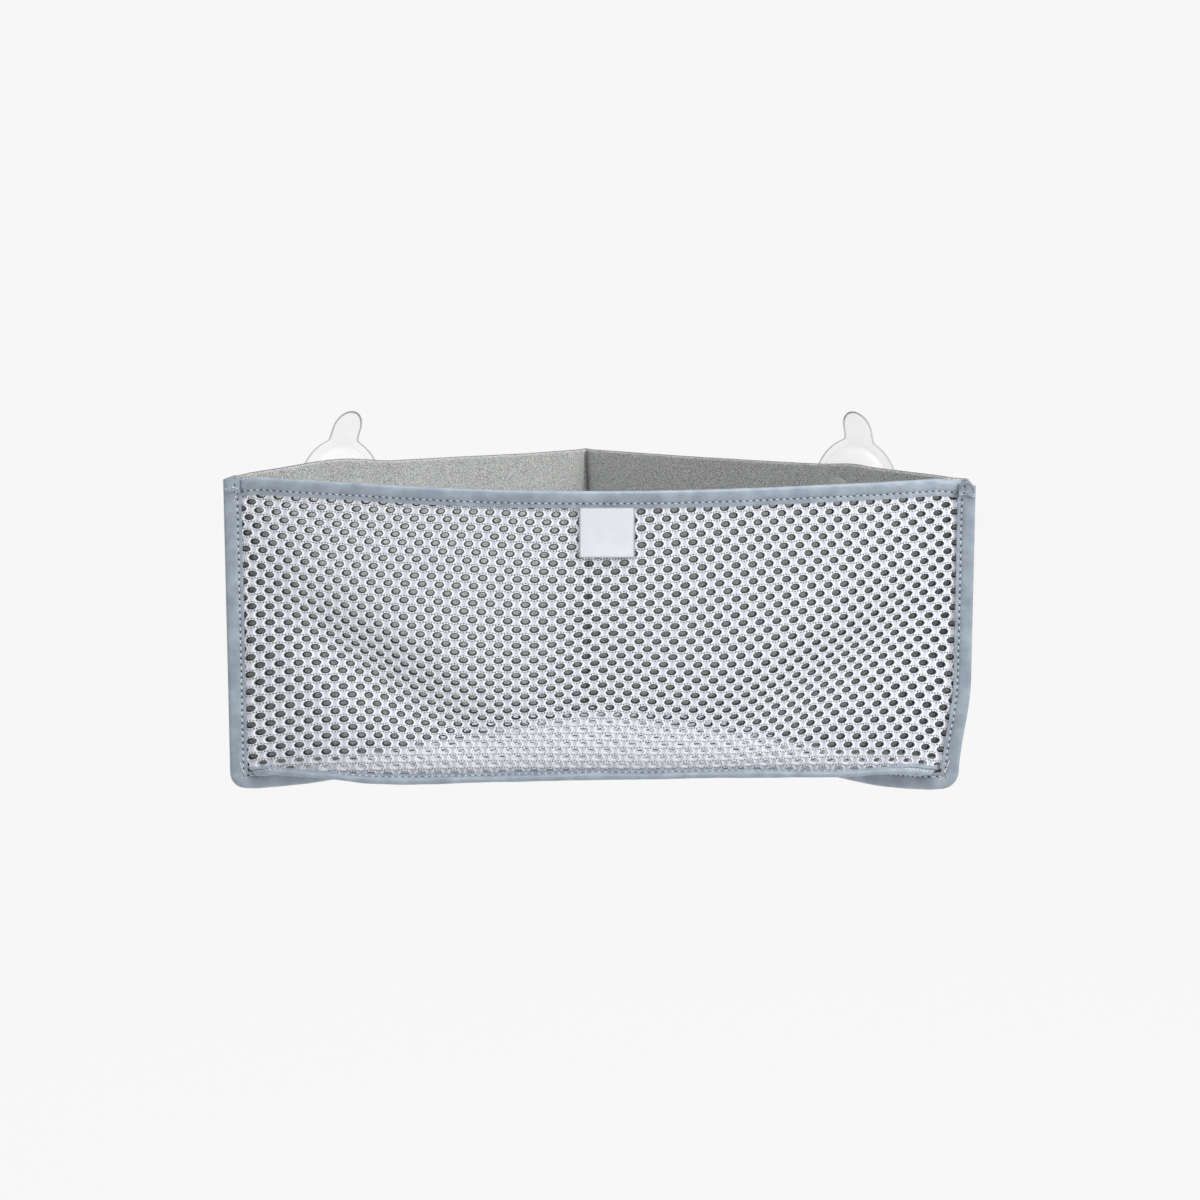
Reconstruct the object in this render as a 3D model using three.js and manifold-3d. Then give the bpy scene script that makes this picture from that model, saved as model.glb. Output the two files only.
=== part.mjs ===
// Bath toy organizer for the corner of a bath wall, in millimetres.
// Two neoprene back panels lie along the walls, a bulging net closes the front, a second
// net is the floor, folded tape binds the edges, and two clear suction cups hold it up.
// +X runs along the front, +Y into the wall corner and +Z up. The origin is the outer
// edge of the corner seam, at the height of the suction cups' centres.

import * as THREE from 'three';
import { mergeVertices } from 'three/addons/utils/BufferGeometryUtils.js';
import Module from 'manifold-3d';

const wasm = await Module();
wasm.setup();

// Overall sizes, to the outside of the tape
const frontWidth = 359;
const frontHeight = 143.5;
const panelDrop = 10;
const topBulge = 22;
const bottomBulge = 16;
const topSag = 4;
const bottomDip = 2;

// Cloth
const netThickness = 1.4;
const panelThickness = 2.5;
const pressedThickness = 1.6;
const clearance = 0.3;
const seamGap = 0.3;
const bendRadius = 6;
const panelCrown = 2.4;
const cornerRise = 2.1;
const cupRise = 3.4;
const cupRiseWidth = 26;
const panelStep = 10;
const pressStep = 1;
const seamOverrun = 10;

// Binding tape
const tapeWidth = 8.6;
const tapeThickness = 0.8;
const tapeRounding = 0.7;
const tapeCornerRadius = 10;
const mouthMargin = 1;
const flapHeight = 6;
const flapThickness = 0.6;
const flapOverlap = 0.1;
const tapeStep = 12;
const tapeEndSetback = 4.5;

// Net pattern: oval holes in staggered rows
const holePitch = 24;
const holeWidthShare = 0.5;
const holeHeightShare = 0.77;
const holeShoulderShare = 0.5;
const netRows = 12;
const netMargin = 1.6;
const floorHoleMargin = 4;
const floorRise = 0.5;
const floorFall = 9.5;
const floorCornerTrim = 4;
const floorWallSteps = 12;

// Two slanted folds of the front net, from low in the middle to high at the sides
const foldDepth = 9;
const foldWidth = 16;
const foldFoot = 37;
const foldAngle = 38;
const foldReachShare = 0.85;

// Label patch, sewn on blank
const labelWidth = 25;
const labelHeight = 24;
const labelThickness = 0.6;
const labelOffset = 3;
const labelSteps = 4;

// Suction cups
const cupFromCorner = 170;
const cupBelowTop = 10.8;
const cupDepth = 13;
const rimRadius = 26.9;
const flangeWidth = 6;
const rimThickness = 1.2;
const bellThickness = 1.6;
const domeRise = 6;
const neckRadius = 4;
const headRadius = 7.5;
const headHeight = 4;
const headEdge = 1.4;
const collarRadius = 8;
const collarThickness = 2.2;
const drillLength = 7.5;
const cupSegments = 32;
const cupCurveSteps = 5;
const cornerSteps = 6;

// Lift tab of a suction cup
const tabLength = 15.5;
const tabWidth = 17;
const tabRootWidth = 23;
const tabRootHeight = 5;
const tabTilt = 22;
const tabRootInset = 3;
const tabArcSteps = 8;

// Sizes that follow from those above
const diagonal = Math.SQRT1_2;
const edgeInset = tapeThickness + clearance;
const innerFace = netThickness / 2 + clearance;
const pressedFace = innerFace + pressedThickness;
const outerFace = innerFace + panelThickness;
const mouth = tapeWidth + mouthMargin;
const halfFront = frontWidth / 2;
const bendX = halfFront - mouth;
const bendArc = (bendRadius * Math.PI) / 4;
const legStart = mouth + bendArc;
const frontY = -(bendX + bendRadius - (bendRadius - outerFace) / diagonal);
const cornerTop = cupBelowTop;
const panelBottom = cornerTop - frontHeight - panelDrop;
const legLength = (bendX - bendRadius * diagonal) / diagonal;
const wrapLength = legStart + legLength;
const pastSeam = wrapLength + seamOverrun;
const latticeHalf = Math.floor((bendX - netMargin) / holePitch) * holePitch;
const netColumns = (2 * latticeHalf) / holePitch;
const rowSpacing = (frontHeight - 2 * (tapeWidth + netMargin)) / netRows;
const radians = Math.PI / 180;

// Turns a list of points and a list of triangles into a closed body with its faces out.
function bodyFrom(points, triangles) {
  const geometry = new THREE.BufferGeometry();
  const positions = points.flatMap((point) => [point.x, point.y, point.z]);
  geometry.setAttribute('position', new THREE.Float32BufferAttribute(positions, 3));
  geometry.setIndex(triangles.flat());
  return facingOut(geometry);
}

function signedVolume(geometry) {
  const corners = [new THREE.Vector3(), new THREE.Vector3(), new THREE.Vector3()];
  let volume = 0;
  for (let start = 0; start < geometry.index.count; start += corners.length) {
    corners.forEach((corner, k) => {
      corner.fromBufferAttribute(geometry.attributes.position, geometry.index.getX(start + k));
    });
    volume += corners[0].dot(corners[1].clone().cross(corners[2]));
  }
  return volume;
}

// Reading the index backwards turns every triangle over.
function facingOut(geometry) {
  if (signedVolume(geometry) < 0) {
    geometry.setIndex(Array.from(geometry.index.array).reverse());
  }
  return geometry;
}

function welded(geometry) {
  const bare = new THREE.BufferGeometry();
  bare.setAttribute('position', geometry.attributes.position.clone());
  if (geometry.index) bare.setIndex(geometry.index.clone());
  return facingOut(mergeVertices(bare));
}

// Joining and cutting of closed bodies
function toManifold(geometry) {
  const vertProperties = new Float32Array(geometry.attributes.position.array);
  const triVerts = new Uint32Array(geometry.index.array);
  return new wasm.Manifold(new wasm.Mesh({ numProp: 3, vertProperties, triVerts }));
}

function fromManifold(manifold) {
  const mesh = manifold.getMesh();
  const geometry = new THREE.BufferGeometry();
  geometry.setAttribute('position', new THREE.BufferAttribute(mesh.vertProperties, 3));
  geometry.setIndex(new THREE.BufferAttribute(mesh.triVerts, 1));
  return geometry;
}

function joined(first, second) {
  return fromManifold(toManifold(first).add(toManifold(second)));
}

function cut(body, tool) {
  return fromManifold(toManifold(body).subtract(toManifold(tool)));
}

// A sheet from a flat plan: each plan point has a front and a back place, and every edge
// that only one triangle uses gets a wall.
function thickened(places, triangles) {
  const count = places.length;
  const points = [...places.map((pair) => pair[0]), ...places.map((pair) => pair[1])];
  const faces = [...triangles, ...triangles.map(([a, b, c]) => [c + count, b + count, a + count])];
  const edges = new Set();
  triangles.forEach(([a, b, c]) => [[a, b], [b, c], [c, a]].forEach(([p, q]) => edges.add(`${p},${q}`)));
  edges.forEach((edge) => {
    const [p, q] = edge.split(',').map(Number);
    if (!edges.has(`${q},${p}`)) {
      faces.push([q, p, p + count], [q, p + count, q + count]);
    }
  });
  return bodyFrom(points, faces);
}

// A body that joins closed rings of equal count, capped at both ends. outline is the
// flat shape of a ring, which the caps are divided by.
function lofted(rings, outline) {
  const size = outline.length;
  const faces = [];
  for (let ring = 0; ring + 1 < rings.length; ring += 1) {
    for (let k = 0; k < size; k += 1) {
      const a = ring * size + k;
      const b = ring * size + ((k + 1) % size);
      faces.push([a, b, b + size], [a, b + size, a + size]);
    }
  }
  const caps = THREE.ShapeUtils.triangulateShape(outline, []);
  const last = (rings.length - 1) * size;
  const turned = THREE.ShapeUtils.isClockWise(outline);
  caps.forEach(([a, b, c]) => {
    const start = turned ? [a, b, c] : [c, b, a];
    faces.push(start, [...start].reverse().map((k) => k + last));
  });
  return bodyFrom(rings.flat(), faces);
}

function spread(from, to, count) {
  return Array.from({ length: count + 1 }, (_, k) => from + ((to - from) * k) / count);
}

// The wrap line follows a back panel in plan: straight behind the front net's side edge,
// round a bend of an eighth turn, then along the wall to the corner seam. reach is the
// distance along it from the outside of the side tape, depth the distance behind it.
// What would pass the corner seam ends at it.
function wrapPoint(side, reach, z, depth) {
  const angle = THREE.MathUtils.clamp((reach - mouth) / bendRadius, 0, Math.PI / 4);
  const before = Math.min(reach, mouth);
  const along = Math.max(reach - legStart, 0) * diagonal;
  const radius = bendRadius - depth;
  let x = halfFront - before - radius * Math.sin(angle) - along;
  let y = frontY + bendRadius - radius * Math.cos(angle) + along;
  const past = seamGap / 2 - x;
  if (past > 0) {
    x += past;
    y -= past;
  }
  return new THREE.Vector3(side * x, y, z);
}

// Front net surface
function acrossShare(x) {
  return THREE.MathUtils.clamp(x / bendX, -1, 1);
}

function frontTop(x) {
  return cornerTop - topSag * (1 - acrossShare(x) ** 2);
}

function frontBottom(x) {
  return cornerTop - frontHeight - bottomDip * Math.sin(Math.PI * acrossShare(x)) ** 2;
}

// A valley with a bell-shaped section along a slanted line, which fades out at the
// bottom, at its upper end and at the sides.
function foldAt(x, upShare) {
  const height = upShare * frontHeight;
  const slope = foldAngle * radians;
  const distance = (Math.abs(x) - foldFoot) * Math.sin(slope) - height * Math.cos(slope);
  const reachShare = Math.min(upShare / foldReachShare, 1);
  const fade = Math.sin(Math.PI * reachShare) ** 2 * (1 - acrossShare(x) ** 2);
  return foldDepth * fade * Math.exp(-((distance / foldWidth) ** 2));
}

function frontSurface(x, upShare) {
  const across = acrossShare(x);
  const bulge = THREE.MathUtils.lerp(
    bottomBulge * (1 - across ** 4),
    topBulge * (1 - across ** 2),
    upShare,
  );
  const z = THREE.MathUtils.lerp(frontBottom(x), frontTop(x), upShare);
  return new THREE.Vector3(x, frontY - bulge + foldAt(x, upShare), z);
}

function frontNormal(x, upShare) {
  const stepShare = 0.001;
  const step = stepShare * frontWidth;
  const toSide = frontSurface(x + step, upShare).sub(frontSurface(x - step, upShare));
  const upwards = frontSurface(x, upShare + stepShare).sub(frontSurface(x, upShare - stepShare));
  return toSide.cross(upwards).normalize();
}

// Place at a distance above the front's lower edge, and at a depth behind the net
function frontPlace(x, height, depth) {
  const upShare = height / (frontTop(x) - frontBottom(x));
  return frontSurface(x, upShare).addScaledVector(frontNormal(x, upShare), -depth);
}

function frontSpan(x) {
  return frontTop(x) - frontBottom(x);
}

// Tape section: a folded strip with a slot for the cloth. Its first value is the distance
// from the folded edge, its second the depth behind the front cloth's middle.
function tapeOutline(slotFront, slotBack) {
  const near = slotFront - tapeThickness;
  const far = slotBack + tapeThickness;
  const outline = [new THREE.Vector2(tapeWidth, near)];
  spread(0, Math.PI / 2, 2).forEach((turn) => {
    outline.push(new THREE.Vector2(
      tapeRounding * (1 - Math.sin(turn)),
      near + tapeRounding * (1 - Math.cos(turn)),
    ));
  });
  spread(Math.PI / 2, 0, 2).forEach((turn) => {
    outline.push(new THREE.Vector2(
      tapeRounding * (1 - Math.sin(turn)),
      far - tapeRounding * (1 - Math.cos(turn)),
    ));
  });
  outline.push(
    new THREE.Vector2(tapeWidth, far),
    new THREE.Vector2(tapeWidth, slotBack),
    new THREE.Vector2(tapeThickness, slotBack),
    new THREE.Vector2(tapeThickness, slotFront),
    new THREE.Vector2(tapeWidth, slotFront),
  );
  return outline;
}

// Places across the front that nets and tapes share, so that their flats lie alike
function frontStations(end) {
  const inner = spread(-latticeHalf, latticeHalf, Math.round((2 * latticeHalf) / tapeStep));
  return [-end, ...inner.filter((x) => Math.abs(x) < end - mouthMargin), end];
}

const frontSlot = -innerFace;
const singleSlot = innerFace;
const netPairSlot = innerFace + netThickness + clearance;
const panelSlot = pressedFace + clearance;

function topBinding() {
  const outline = tapeOutline(frontSlot, singleSlot);
  const rings = frontStations(bendX - tapeEndSetback).map((x) => (
    outline.map(({ x: inset, y: depth }) => frontPlace(x, frontSpan(x) - inset, depth))
  ));
  return lofted(rings, outline);
}

function frontBottomBinding() {
  const outline = tapeOutline(frontSlot, netPairSlot);
  const rings = frontStations(bendX - tapeEndSetback).map((x) => (
    outline.map(({ x: inset, y: depth }) => frontPlace(x, inset, depth))
  ));
  return lofted(rings, outline);
}

// The tape runs down the side, round the lower corner and along the panel's lower edge.
function edgeStations() {
  const radius = tapeCornerRadius;
  const stations = [{ reach: 0, z: cornerTop - flapThickness, inReach: 1, inZ: 0 }];
  spread(0, Math.PI / 2, cornerSteps).forEach((turn) => {
    stations.push({
      reach: radius * (1 - Math.cos(turn)),
      z: panelBottom + radius * (1 - Math.sin(turn)),
      inReach: Math.cos(turn),
      inZ: Math.sin(turn),
    });
  });
  const bend = spread(Math.max(radius, mouth) + mouthMargin, legStart + mouthMargin, cornerSteps);
  [...bend, pastSeam].forEach((reach) => {
    stations.push({ reach, z: panelBottom, inReach: 0, inZ: 1 });
  });
  return stations;
}

function edgeFlap(side) {
  const near = frontSlot - tapeThickness;
  const far = panelSlot + tapeThickness;
  const low = cornerTop - flapHeight;
  const under = cornerTop - flapThickness - flapOverlap;
  const outline = [
    [near - flapThickness, low], [near - flapThickness, cornerTop - flapThickness],
    [near, cornerTop], [far, cornerTop], [far + flapThickness, cornerTop - flapThickness],
    [far + flapThickness, low], [far - flapOverlap, low], [far - flapOverlap, under],
    [near + flapOverlap, under], [near + flapOverlap, low],
  ].map(([depth, z]) => new THREE.Vector2(depth, z));
  const rings = [0, tapeWidth].map((reach) => (
    outline.map(({ x: depth, y: z }) => wrapPoint(side, reach, z, depth))
  ));
  return lofted(rings, outline);
}

function edgeBinding(side) {
  const outline = tapeOutline(frontSlot, panelSlot);
  const rings = edgeStations().map((station) => outline.map(({ x: inset, y: depth }) => (
    wrapPoint(side, station.reach + station.inReach * inset, station.z + station.inZ * inset, depth)
  )));
  return joined(lofted(rings, outline), edgeFlap(side));
}

// Back panel of neoprene
function cupReach() {
  return wrapLength - cupFromCorner;
}

function panelTop(reach) {
  const share = THREE.MathUtils.clamp((reach - mouth) / (wrapLength - mouth), 0, 1);
  const crown = panelCrown * Math.sin(Math.PI * Math.sqrt(share)) + cornerRise * share;
  const overCup = cupRise * Math.exp(-(((reach - cupReach()) / cupRiseWidth) ** 2));
  return cornerTop - edgeInset + crown + overCup;
}

function panelLow(reach) {
  const radius = tapeCornerRadius - edgeInset;
  const inset = Math.max(0, tapeCornerRadius - reach);
  return panelBottom + tapeCornerRadius - Math.sqrt(radius ** 2 - inset ** 2);
}

function panelReaches() {
  const radius = tapeCornerRadius - edgeInset;
  const corner = spread(0, Math.PI / 2, cornerSteps)
    .map((turn) => tapeCornerRadius - radius * Math.cos(turn))
    .filter((reach) => reach < tapeWidth);
  const bend = spread(mouth, legStart, cornerSteps / 2);
  const leg = spread(legStart, wrapLength, Math.round(legLength / panelStep)).slice(1, -1);
  return [...corner, ...bend, ...leg, pastSeam];
}

// The panel is pressed thin where the tape grips it, and full above and inside the tape.
function backPanel(side) {
  const reaches = panelReaches();
  const rows = [
    { level: panelLow, back: pressedFace },
    { level: () => panelBottom + tapeCornerRadius + mouthMargin, back: pressedFace },
    { level: () => panelBottom + tapeCornerRadius + mouthMargin + pressStep, back: outerFace },
    { level: panelTop, back: outerFace },
  ];
  const places = reaches.flatMap((reach) => rows.map(({ level, back }) => {
    const far = reach <= mouth ? pressedFace : back;
    const z = level(reach);
    return [wrapPoint(side, reach, z, innerFace), wrapPoint(side, reach, z, far)];
  }));
  const triangles = [];
  for (let column = 0; column + 1 < reaches.length; column += 1) {
    for (let row = 0; row + 1 < rows.length; row += 1) {
      const a = column * rows.length + row;
      const b = a + rows.length;
      triangles.push([a, b, b + 1], [a, b + 1, a + 1]);
    }
  }
  return cut(thickened(places, triangles), neckHole(side));
}

// Axis of a suction cup: from the panel's inner face out to the wall
function cupAxis(side) {
  return new THREE.Vector3(side * diagonal, diagonal, 0);
}

function cupFrame(side) {
  const outwards = cupAxis(side);
  const up = new THREE.Vector3(0, 0, 1);
  const across = outwards.clone().cross(up);
  return new THREE.Matrix4()
    .makeBasis(across, outwards, up)
    .setPosition(wrapPoint(side, cupReach(), 0, innerFace));
}

function neckHole(side) {
  const radius = neckRadius + clearance;
  const drill = new THREE.CylinderGeometry(radius, radius, drillLength, cupSegments / 2);
  return welded(drill).applyMatrix4(cupFrame(side));
}

// A run of points along a quarter of an ellipse, from its flat end to its steep end
function quarter(fromRadius, toRadius, fromLevel, toLevel) {
  return spread(0, Math.PI / 2, cupCurveSteps).map((turn) => new THREE.Vector2(
    THREE.MathUtils.lerp(fromRadius, toRadius, Math.sin(turn)),
    THREE.MathUtils.lerp(fromLevel, toLevel, 1 - Math.cos(turn)),
  ));
}

// Revolved profile of a cup: head, neck, collar, bell and flat rim, along the axis
function cupProfile() {
  const flangeRadius = rimRadius - flangeWidth;
  const collarLevel = panelThickness + clearance;
  const bellLevel = collarLevel + collarThickness;
  const rimBack = cupDepth - rimThickness;
  const domeLevel = cupDepth - domeRise;
  return [
    ...quarter(0, headRadius, -clearance - headHeight, -clearance - headEdge),
    new THREE.Vector2(headRadius, -clearance),
    new THREE.Vector2(neckRadius, -clearance),
    new THREE.Vector2(neckRadius, collarLevel),
    new THREE.Vector2(collarRadius, collarLevel),
    ...quarter(collarRadius, flangeRadius + bellThickness, bellLevel, rimBack),
    new THREE.Vector2(rimRadius - rimThickness / 2, rimBack),
    new THREE.Vector2(rimRadius, rimBack + rimThickness / 2),
    new THREE.Vector2(rimRadius, cupDepth),
    ...quarter(0, flangeRadius, domeLevel, cupDepth).reverse(),
  ];
}

function tabOutline() {
  const tip = tabWidth / 2;
  const outline = [new THREE.Vector2(-tabRootWidth / 2, 0)];
  outline.push(new THREE.Vector2(-tip, tabRootHeight));
  const height = tabLength + tabRootInset - tip;
  spread(Math.PI, 0, tabArcSteps).forEach((turn) => {
    outline.push(new THREE.Vector2(tip * Math.cos(turn), height + tip * Math.sin(turn)));
  });
  outline.push(new THREE.Vector2(tip, tabRootHeight), new THREE.Vector2(tabRootWidth / 2, 0));
  return outline;
}

// The tab leaves the rim and leans away from the wall, so that a finger gets under it.
function tabBody() {
  const tab = new THREE.ExtrudeGeometry(new THREE.Shape(tabOutline()), {
    depth: rimThickness, bevelEnabled: false, steps: 1,
  });
  tab.translate(0, 0, -rimThickness / 2);
  tab.rotateX(Math.PI / 2 - tabTilt * radians);
  tab.translate(0, cupDepth - rimThickness, rimRadius - tabRootInset);
  return welded(tab);
}

function suctionCup(side) {
  const turned = welded(new THREE.LatheGeometry(cupProfile(), cupSegments));
  return joined(turned, tabBody()).applyMatrix4(cupFrame(side));
}

// One staggered cell of net: a lozenge from junction to junction round a six-sided hole
function holeCorners(centre, halfPitch, spacing) {
  const halfWidth = halfPitch * holeWidthShare;
  const halfHeight = (spacing * holeHeightShare) / 2;
  const shoulder = halfWidth * holeShoulderShare;
  return [
    [halfWidth, 0], [shoulder, halfHeight], [-shoulder, halfHeight],
    [-halfWidth, 0], [-shoulder, -halfHeight], [shoulder, -halfHeight],
  ].map(([across, up]) => [centre[0] + across, centre[1] + up]);
}

class Plan {
  constructor() {
    this.points = [];
    this.triangles = [];
    this.known = new Map();
  }

  point(across, up) {
    const key = `${across.toFixed(4)},${up.toFixed(4)}`;
    if (!this.known.has(key)) {
      this.known.set(key, this.points.length);
      this.points.push([across, up]);
    }
    return this.known.get(key);
  }

  triangle(...corners) {
    this.triangles.push(corners.map(([across, up]) => this.point(across, up)));
  }

  cell(left, bottom, right, top, spacing) {
    const centre = [(left[0] + right[0]) / 2, left[1]];
    const hole = holeCorners(centre, (right[0] - left[0]) / 2, spacing);
    const [east, northEast, northWest, west, southWest, southEast] = hole;
    this.triangle(right, top, northEast);
    this.triangle(right, northEast, east);
    this.triangle(top, northWest, northEast);
    this.triangle(top, left, northWest);
    this.triangle(left, west, northWest);
    this.triangle(left, bottom, southWest);
    this.triangle(left, southWest, west);
    this.triangle(bottom, southEast, southWest);
    this.triangle(bottom, right, southEast);
    this.triangle(right, east, southEast);
  }
}

// Plan of the front net: across in millimetres, up as millimetres above the lower edge
// of an unsagged front. Solid hems run round the lattice.
function frontNetPlan() {
  const plan = new Plan();
  const halfPitch = holePitch / 2;
  const columns = netColumns * 2;
  const lowest = tapeWidth + netMargin;
  const node = (i, j) => [-latticeHalf + i * halfPitch, lowest + j * rowSpacing];
  for (let i = 0; i <= columns; i += 1) {
    for (let j = 0; j <= netRows; j += 1) {
      if ((i + j) % 2 === 1) addLatticeNode(plan, node, i, j, columns);
    }
  }
  addHems(plan, node, columns);
  return plan;
}

function addLatticeNode(plan, node, i, j, columns) {
  const inside = i > 0 && i < columns && j > 0 && j < netRows;
  if (inside) {
    plan.cell(node(i - 1, j), node(i, j - 1), node(i + 1, j), node(i, j + 1), rowSpacing);
    return;
  }
  const around = [[i - 1, j], [i, j - 1], [i + 1, j], [i, j + 1]]
    .filter(([a, b]) => a >= 0 && a <= columns && b >= 0 && b <= netRows);
  const tip = around.find(([a, b]) => (i === 0 || i === columns ? b === j : a === i));
  const base = around.filter((corner) => corner !== tip);
  base.forEach((corner) => {
    const triangle = [node(i, j), node(...corner), node(...tip)];
    plan.triangle(...(turnsLeft(triangle) ? triangle : triangle.reverse()));
  });
}

function turnsLeft([a, b, c]) {
  return (b[0] - a[0]) * (c[1] - a[1]) - (b[1] - a[1]) * (c[0] - a[0]) > 0;
}

function addHems(plan, node, columns) {
  const edge = halfFront - edgeInset;
  const inner = Array.from({ length: columns + 1 }, (_, i) => node(i, 0)[0]);
  const levels = Array.from({ length: netRows + 1 }, (_, j) => node(0, j)[1]);
  const lines = [-edge, -bendX, ...inner, bendX, edge];
  const rows = [edgeInset, ...levels, frontHeight - edgeInset];
  for (let a = 0; a + 1 < lines.length; a += 1) {
    for (let b = 0; b + 1 < rows.length; b += 1) {
      const inLattice = a > 1 && a < lines.length - 3 && b > 0 && b < rows.length - 2;
      if (!inLattice) {
        const corners = [
          [lines[a], rows[b]], [lines[a + 1], rows[b]],
          [lines[a + 1], rows[b + 1]], [lines[a], rows[b + 1]],
        ];
        plan.triangle(corners[0], corners[1], corners[2]);
        plan.triangle(corners[0], corners[2], corners[3]);
      }
    }
  }
}

function frontNet() {
  const plan = frontNetPlan();
  const places = plan.points.map(([x, up]) => {
    const height = (up / frontHeight) * frontSpan(x);
    return [frontPlace(x, height, -netThickness / 2), frontPlace(x, height, netThickness / 2)];
  });
  return thickened(places, plan.triangles);
}

// Floor net: nearly level, with its rim turned down into the tapes on three sides
const floorFront = cornerTop - frontHeight + tapeWidth + floorRise + netThickness / 2;

function floorLevel(y) {
  return floorFront + (floorFall * (frontY - y)) / (bendX + bendRadius);
}

function atFloorLevel(point) {
  return point.clone().setZ(floorLevel(point.y));
}

// Rim of the floor, from the left end of the front round to the left wall's front end.
// Each entry holds the rim's place, its lower end and whether the rim goes on from it.
function floorRim() {
  const depth = netThickness + clearance;
  const lowest = panelBottom + edgeInset;
  const front = frontStations(bendX - tapeStep).slice(1, -1).map((x) => ({
    place: atFloorLevel(frontPlace(x, floorFront - frontBottom(x), depth)),
    low: frontPlace(x, edgeInset, depth),
    turnsDown: true,
  }));
  const reaches = spread(legStart + floorCornerTrim, wrapLength, floorWallSteps).slice(0, -1);
  const wall = (side) => reaches.map((reach) => {
    const place = atFloorLevel(wrapPoint(side, reach, 0, 0));
    return { place, low: place.clone().setZ(lowest), turnsDown: true };
  });
  const tipDepth = bendX + bendRadius - bendRadius / diagonal;
  const tip = atFloorLevel(new THREE.Vector3(0, frontY + tipDepth, 0));
  const corner = { place: tip, low: tip.clone().setZ(lowest), turnsDown: true };
  const rim = [...front, ...wall(1), corner, ...wall(-1).reverse()];
  rim[front.length - 1].turnsDown = false;
  rim[rim.length - 1].turnsDown = false;
  return rim;
}

function outwardAt(rim, k) {
  const { place } = rim[k];
  const before = rim[(k - 1 + rim.length) % rim.length].place;
  const after = rim[(k + 1) % rim.length].place;
  const first = new THREE.Vector2(place.y - before.y, before.x - place.x).normalize();
  const second = new THREE.Vector2(after.y - place.y, place.x - after.x).normalize();
  if (!rim[k].turnsDown) return first;
  if (!rim[(k - 1 + rim.length) % rim.length].turnsDown) return second;
  const middle = first.clone().add(second).normalize();
  return middle.divideScalar(middle.dot(first));
}

function insideBy(margin, outline, point) {
  return outline.every((corner, k) => {
    const next = outline[(k + 1) % outline.length];
    const along = next.clone().sub(corner).normalize();
    const offset = new THREE.Vector2(point[0] - corner.x, point[1] - corner.y);
    const distance = along.cross(offset);
    const reach = along.dot(offset);
    const beside = reach > -margin && reach < next.distanceTo(corner) + margin;
    return !beside || distance > margin;
  });
}

function floorHoles(outline) {
  const holes = [];
  const rows = Math.ceil((bendX + bottomBulge) / rowSpacing);
  for (let j = 0; j <= rows; j += 1) {
    const y = frontY - bottomBulge + floorHoleMargin + j * rowSpacing + rowSpacing / 2;
    const shift = j % 2 ? holePitch / 2 : 0;
    for (let x = -latticeHalf + shift; x <= latticeHalf; x += holePitch) {
      const hole = holeCorners([x, y], holePitch / 2, rowSpacing);
      const clear = hole.every((corner) => insideBy(floorHoleMargin, outline, corner));
      if (clear) holes.push(hole.map(([a, b]) => new THREE.Vector2(a, b)));
    }
  }
  return holes;
}

function floorNet() {
  const rim = floorRim();
  const half = netThickness / 2;
  const outline = rim.map(({ place }) => new THREE.Vector2(place.x, place.y));
  const holes = floorHoles(outline);
  const triangles = THREE.ShapeUtils.triangulateShape([...outline], holes.map((hole) => [...hole]));
  const offsets = rim.map((_, k) => outwardAt(rim, k).multiplyScalar(half));
  const offsetPair = (place, { x, y }, up) => {
    const offset = new THREE.Vector3(x, y, up);
    return [place.clone().add(offset), place.clone().sub(offset)];
  };
  const places = rim.map(({ place }, k) => offsetPair(place, offsets[k], half));
  holes.flat().forEach(({ x, y }) => {
    places.push(offsetPair(new THREE.Vector3(x, y, floorLevel(y)), new THREE.Vector2(), half));
  });
  const firstLow = places.length;
  rim.forEach(({ low }, k) => places.push(offsetPair(low, offsets[k], 0)));
  rim.forEach(({ turnsDown }, k) => {
    const next = (k + 1) % rim.length;
    if (turnsDown) {
      triangles.push([next, k, firstLow + k], [next, firstLow + k, firstLow + next]);
    }
  });
  return thickened(places, triangles);
}

// Blank label patch, just below the top tape and in front of the net
function labelPatch() {
  const near = -(netThickness / 2 + clearance + labelThickness);
  const far = near + labelThickness;
  const columns = spread(labelOffset - labelWidth / 2, labelOffset + labelWidth / 2, labelSteps);
  const below = tapeWidth + clearance;
  const places = columns.flatMap((x) => [below + labelHeight, below].map((down) => {
    const height = frontSpan(x) - down;
    return [frontPlace(x, height, near), frontPlace(x, height, far)];
  }));
  const triangles = [];
  for (let k = 0; k < labelSteps; k += 1) {
    const a = k * 2;
    triangles.push([a, a + 2, a + 3], [a, a + 3, a + 1]);
  }
  return thickened(places, triangles);
}

// Materials
const neoprene = new THREE.MeshStandardMaterial({ color: 0x9b9e9b, roughness: 0.9, metalness: 0 });
const whiteNet = new THREE.MeshStandardMaterial({ color: 0xe6e8f0, roughness: 0.8, metalness: 0 });
const tape = new THREE.MeshStandardMaterial({ color: 0x9aa8b4, roughness: 0.6, metalness: 0 });
const labelCloth = new THREE.MeshStandardMaterial({ color: 0xdde1e6, roughness: 0.55, metalness: 0 });
const clearVinyl = new THREE.MeshStandardMaterial({
  color: 0xeef1f2, roughness: 0.15, metalness: 0, transparent: true, opacity: 0.35,
});

function piece(name, geometry, material) {
  const mesh = new THREE.Mesh(geometry, material);
  mesh.name = name;
  return mesh;
}

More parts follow.
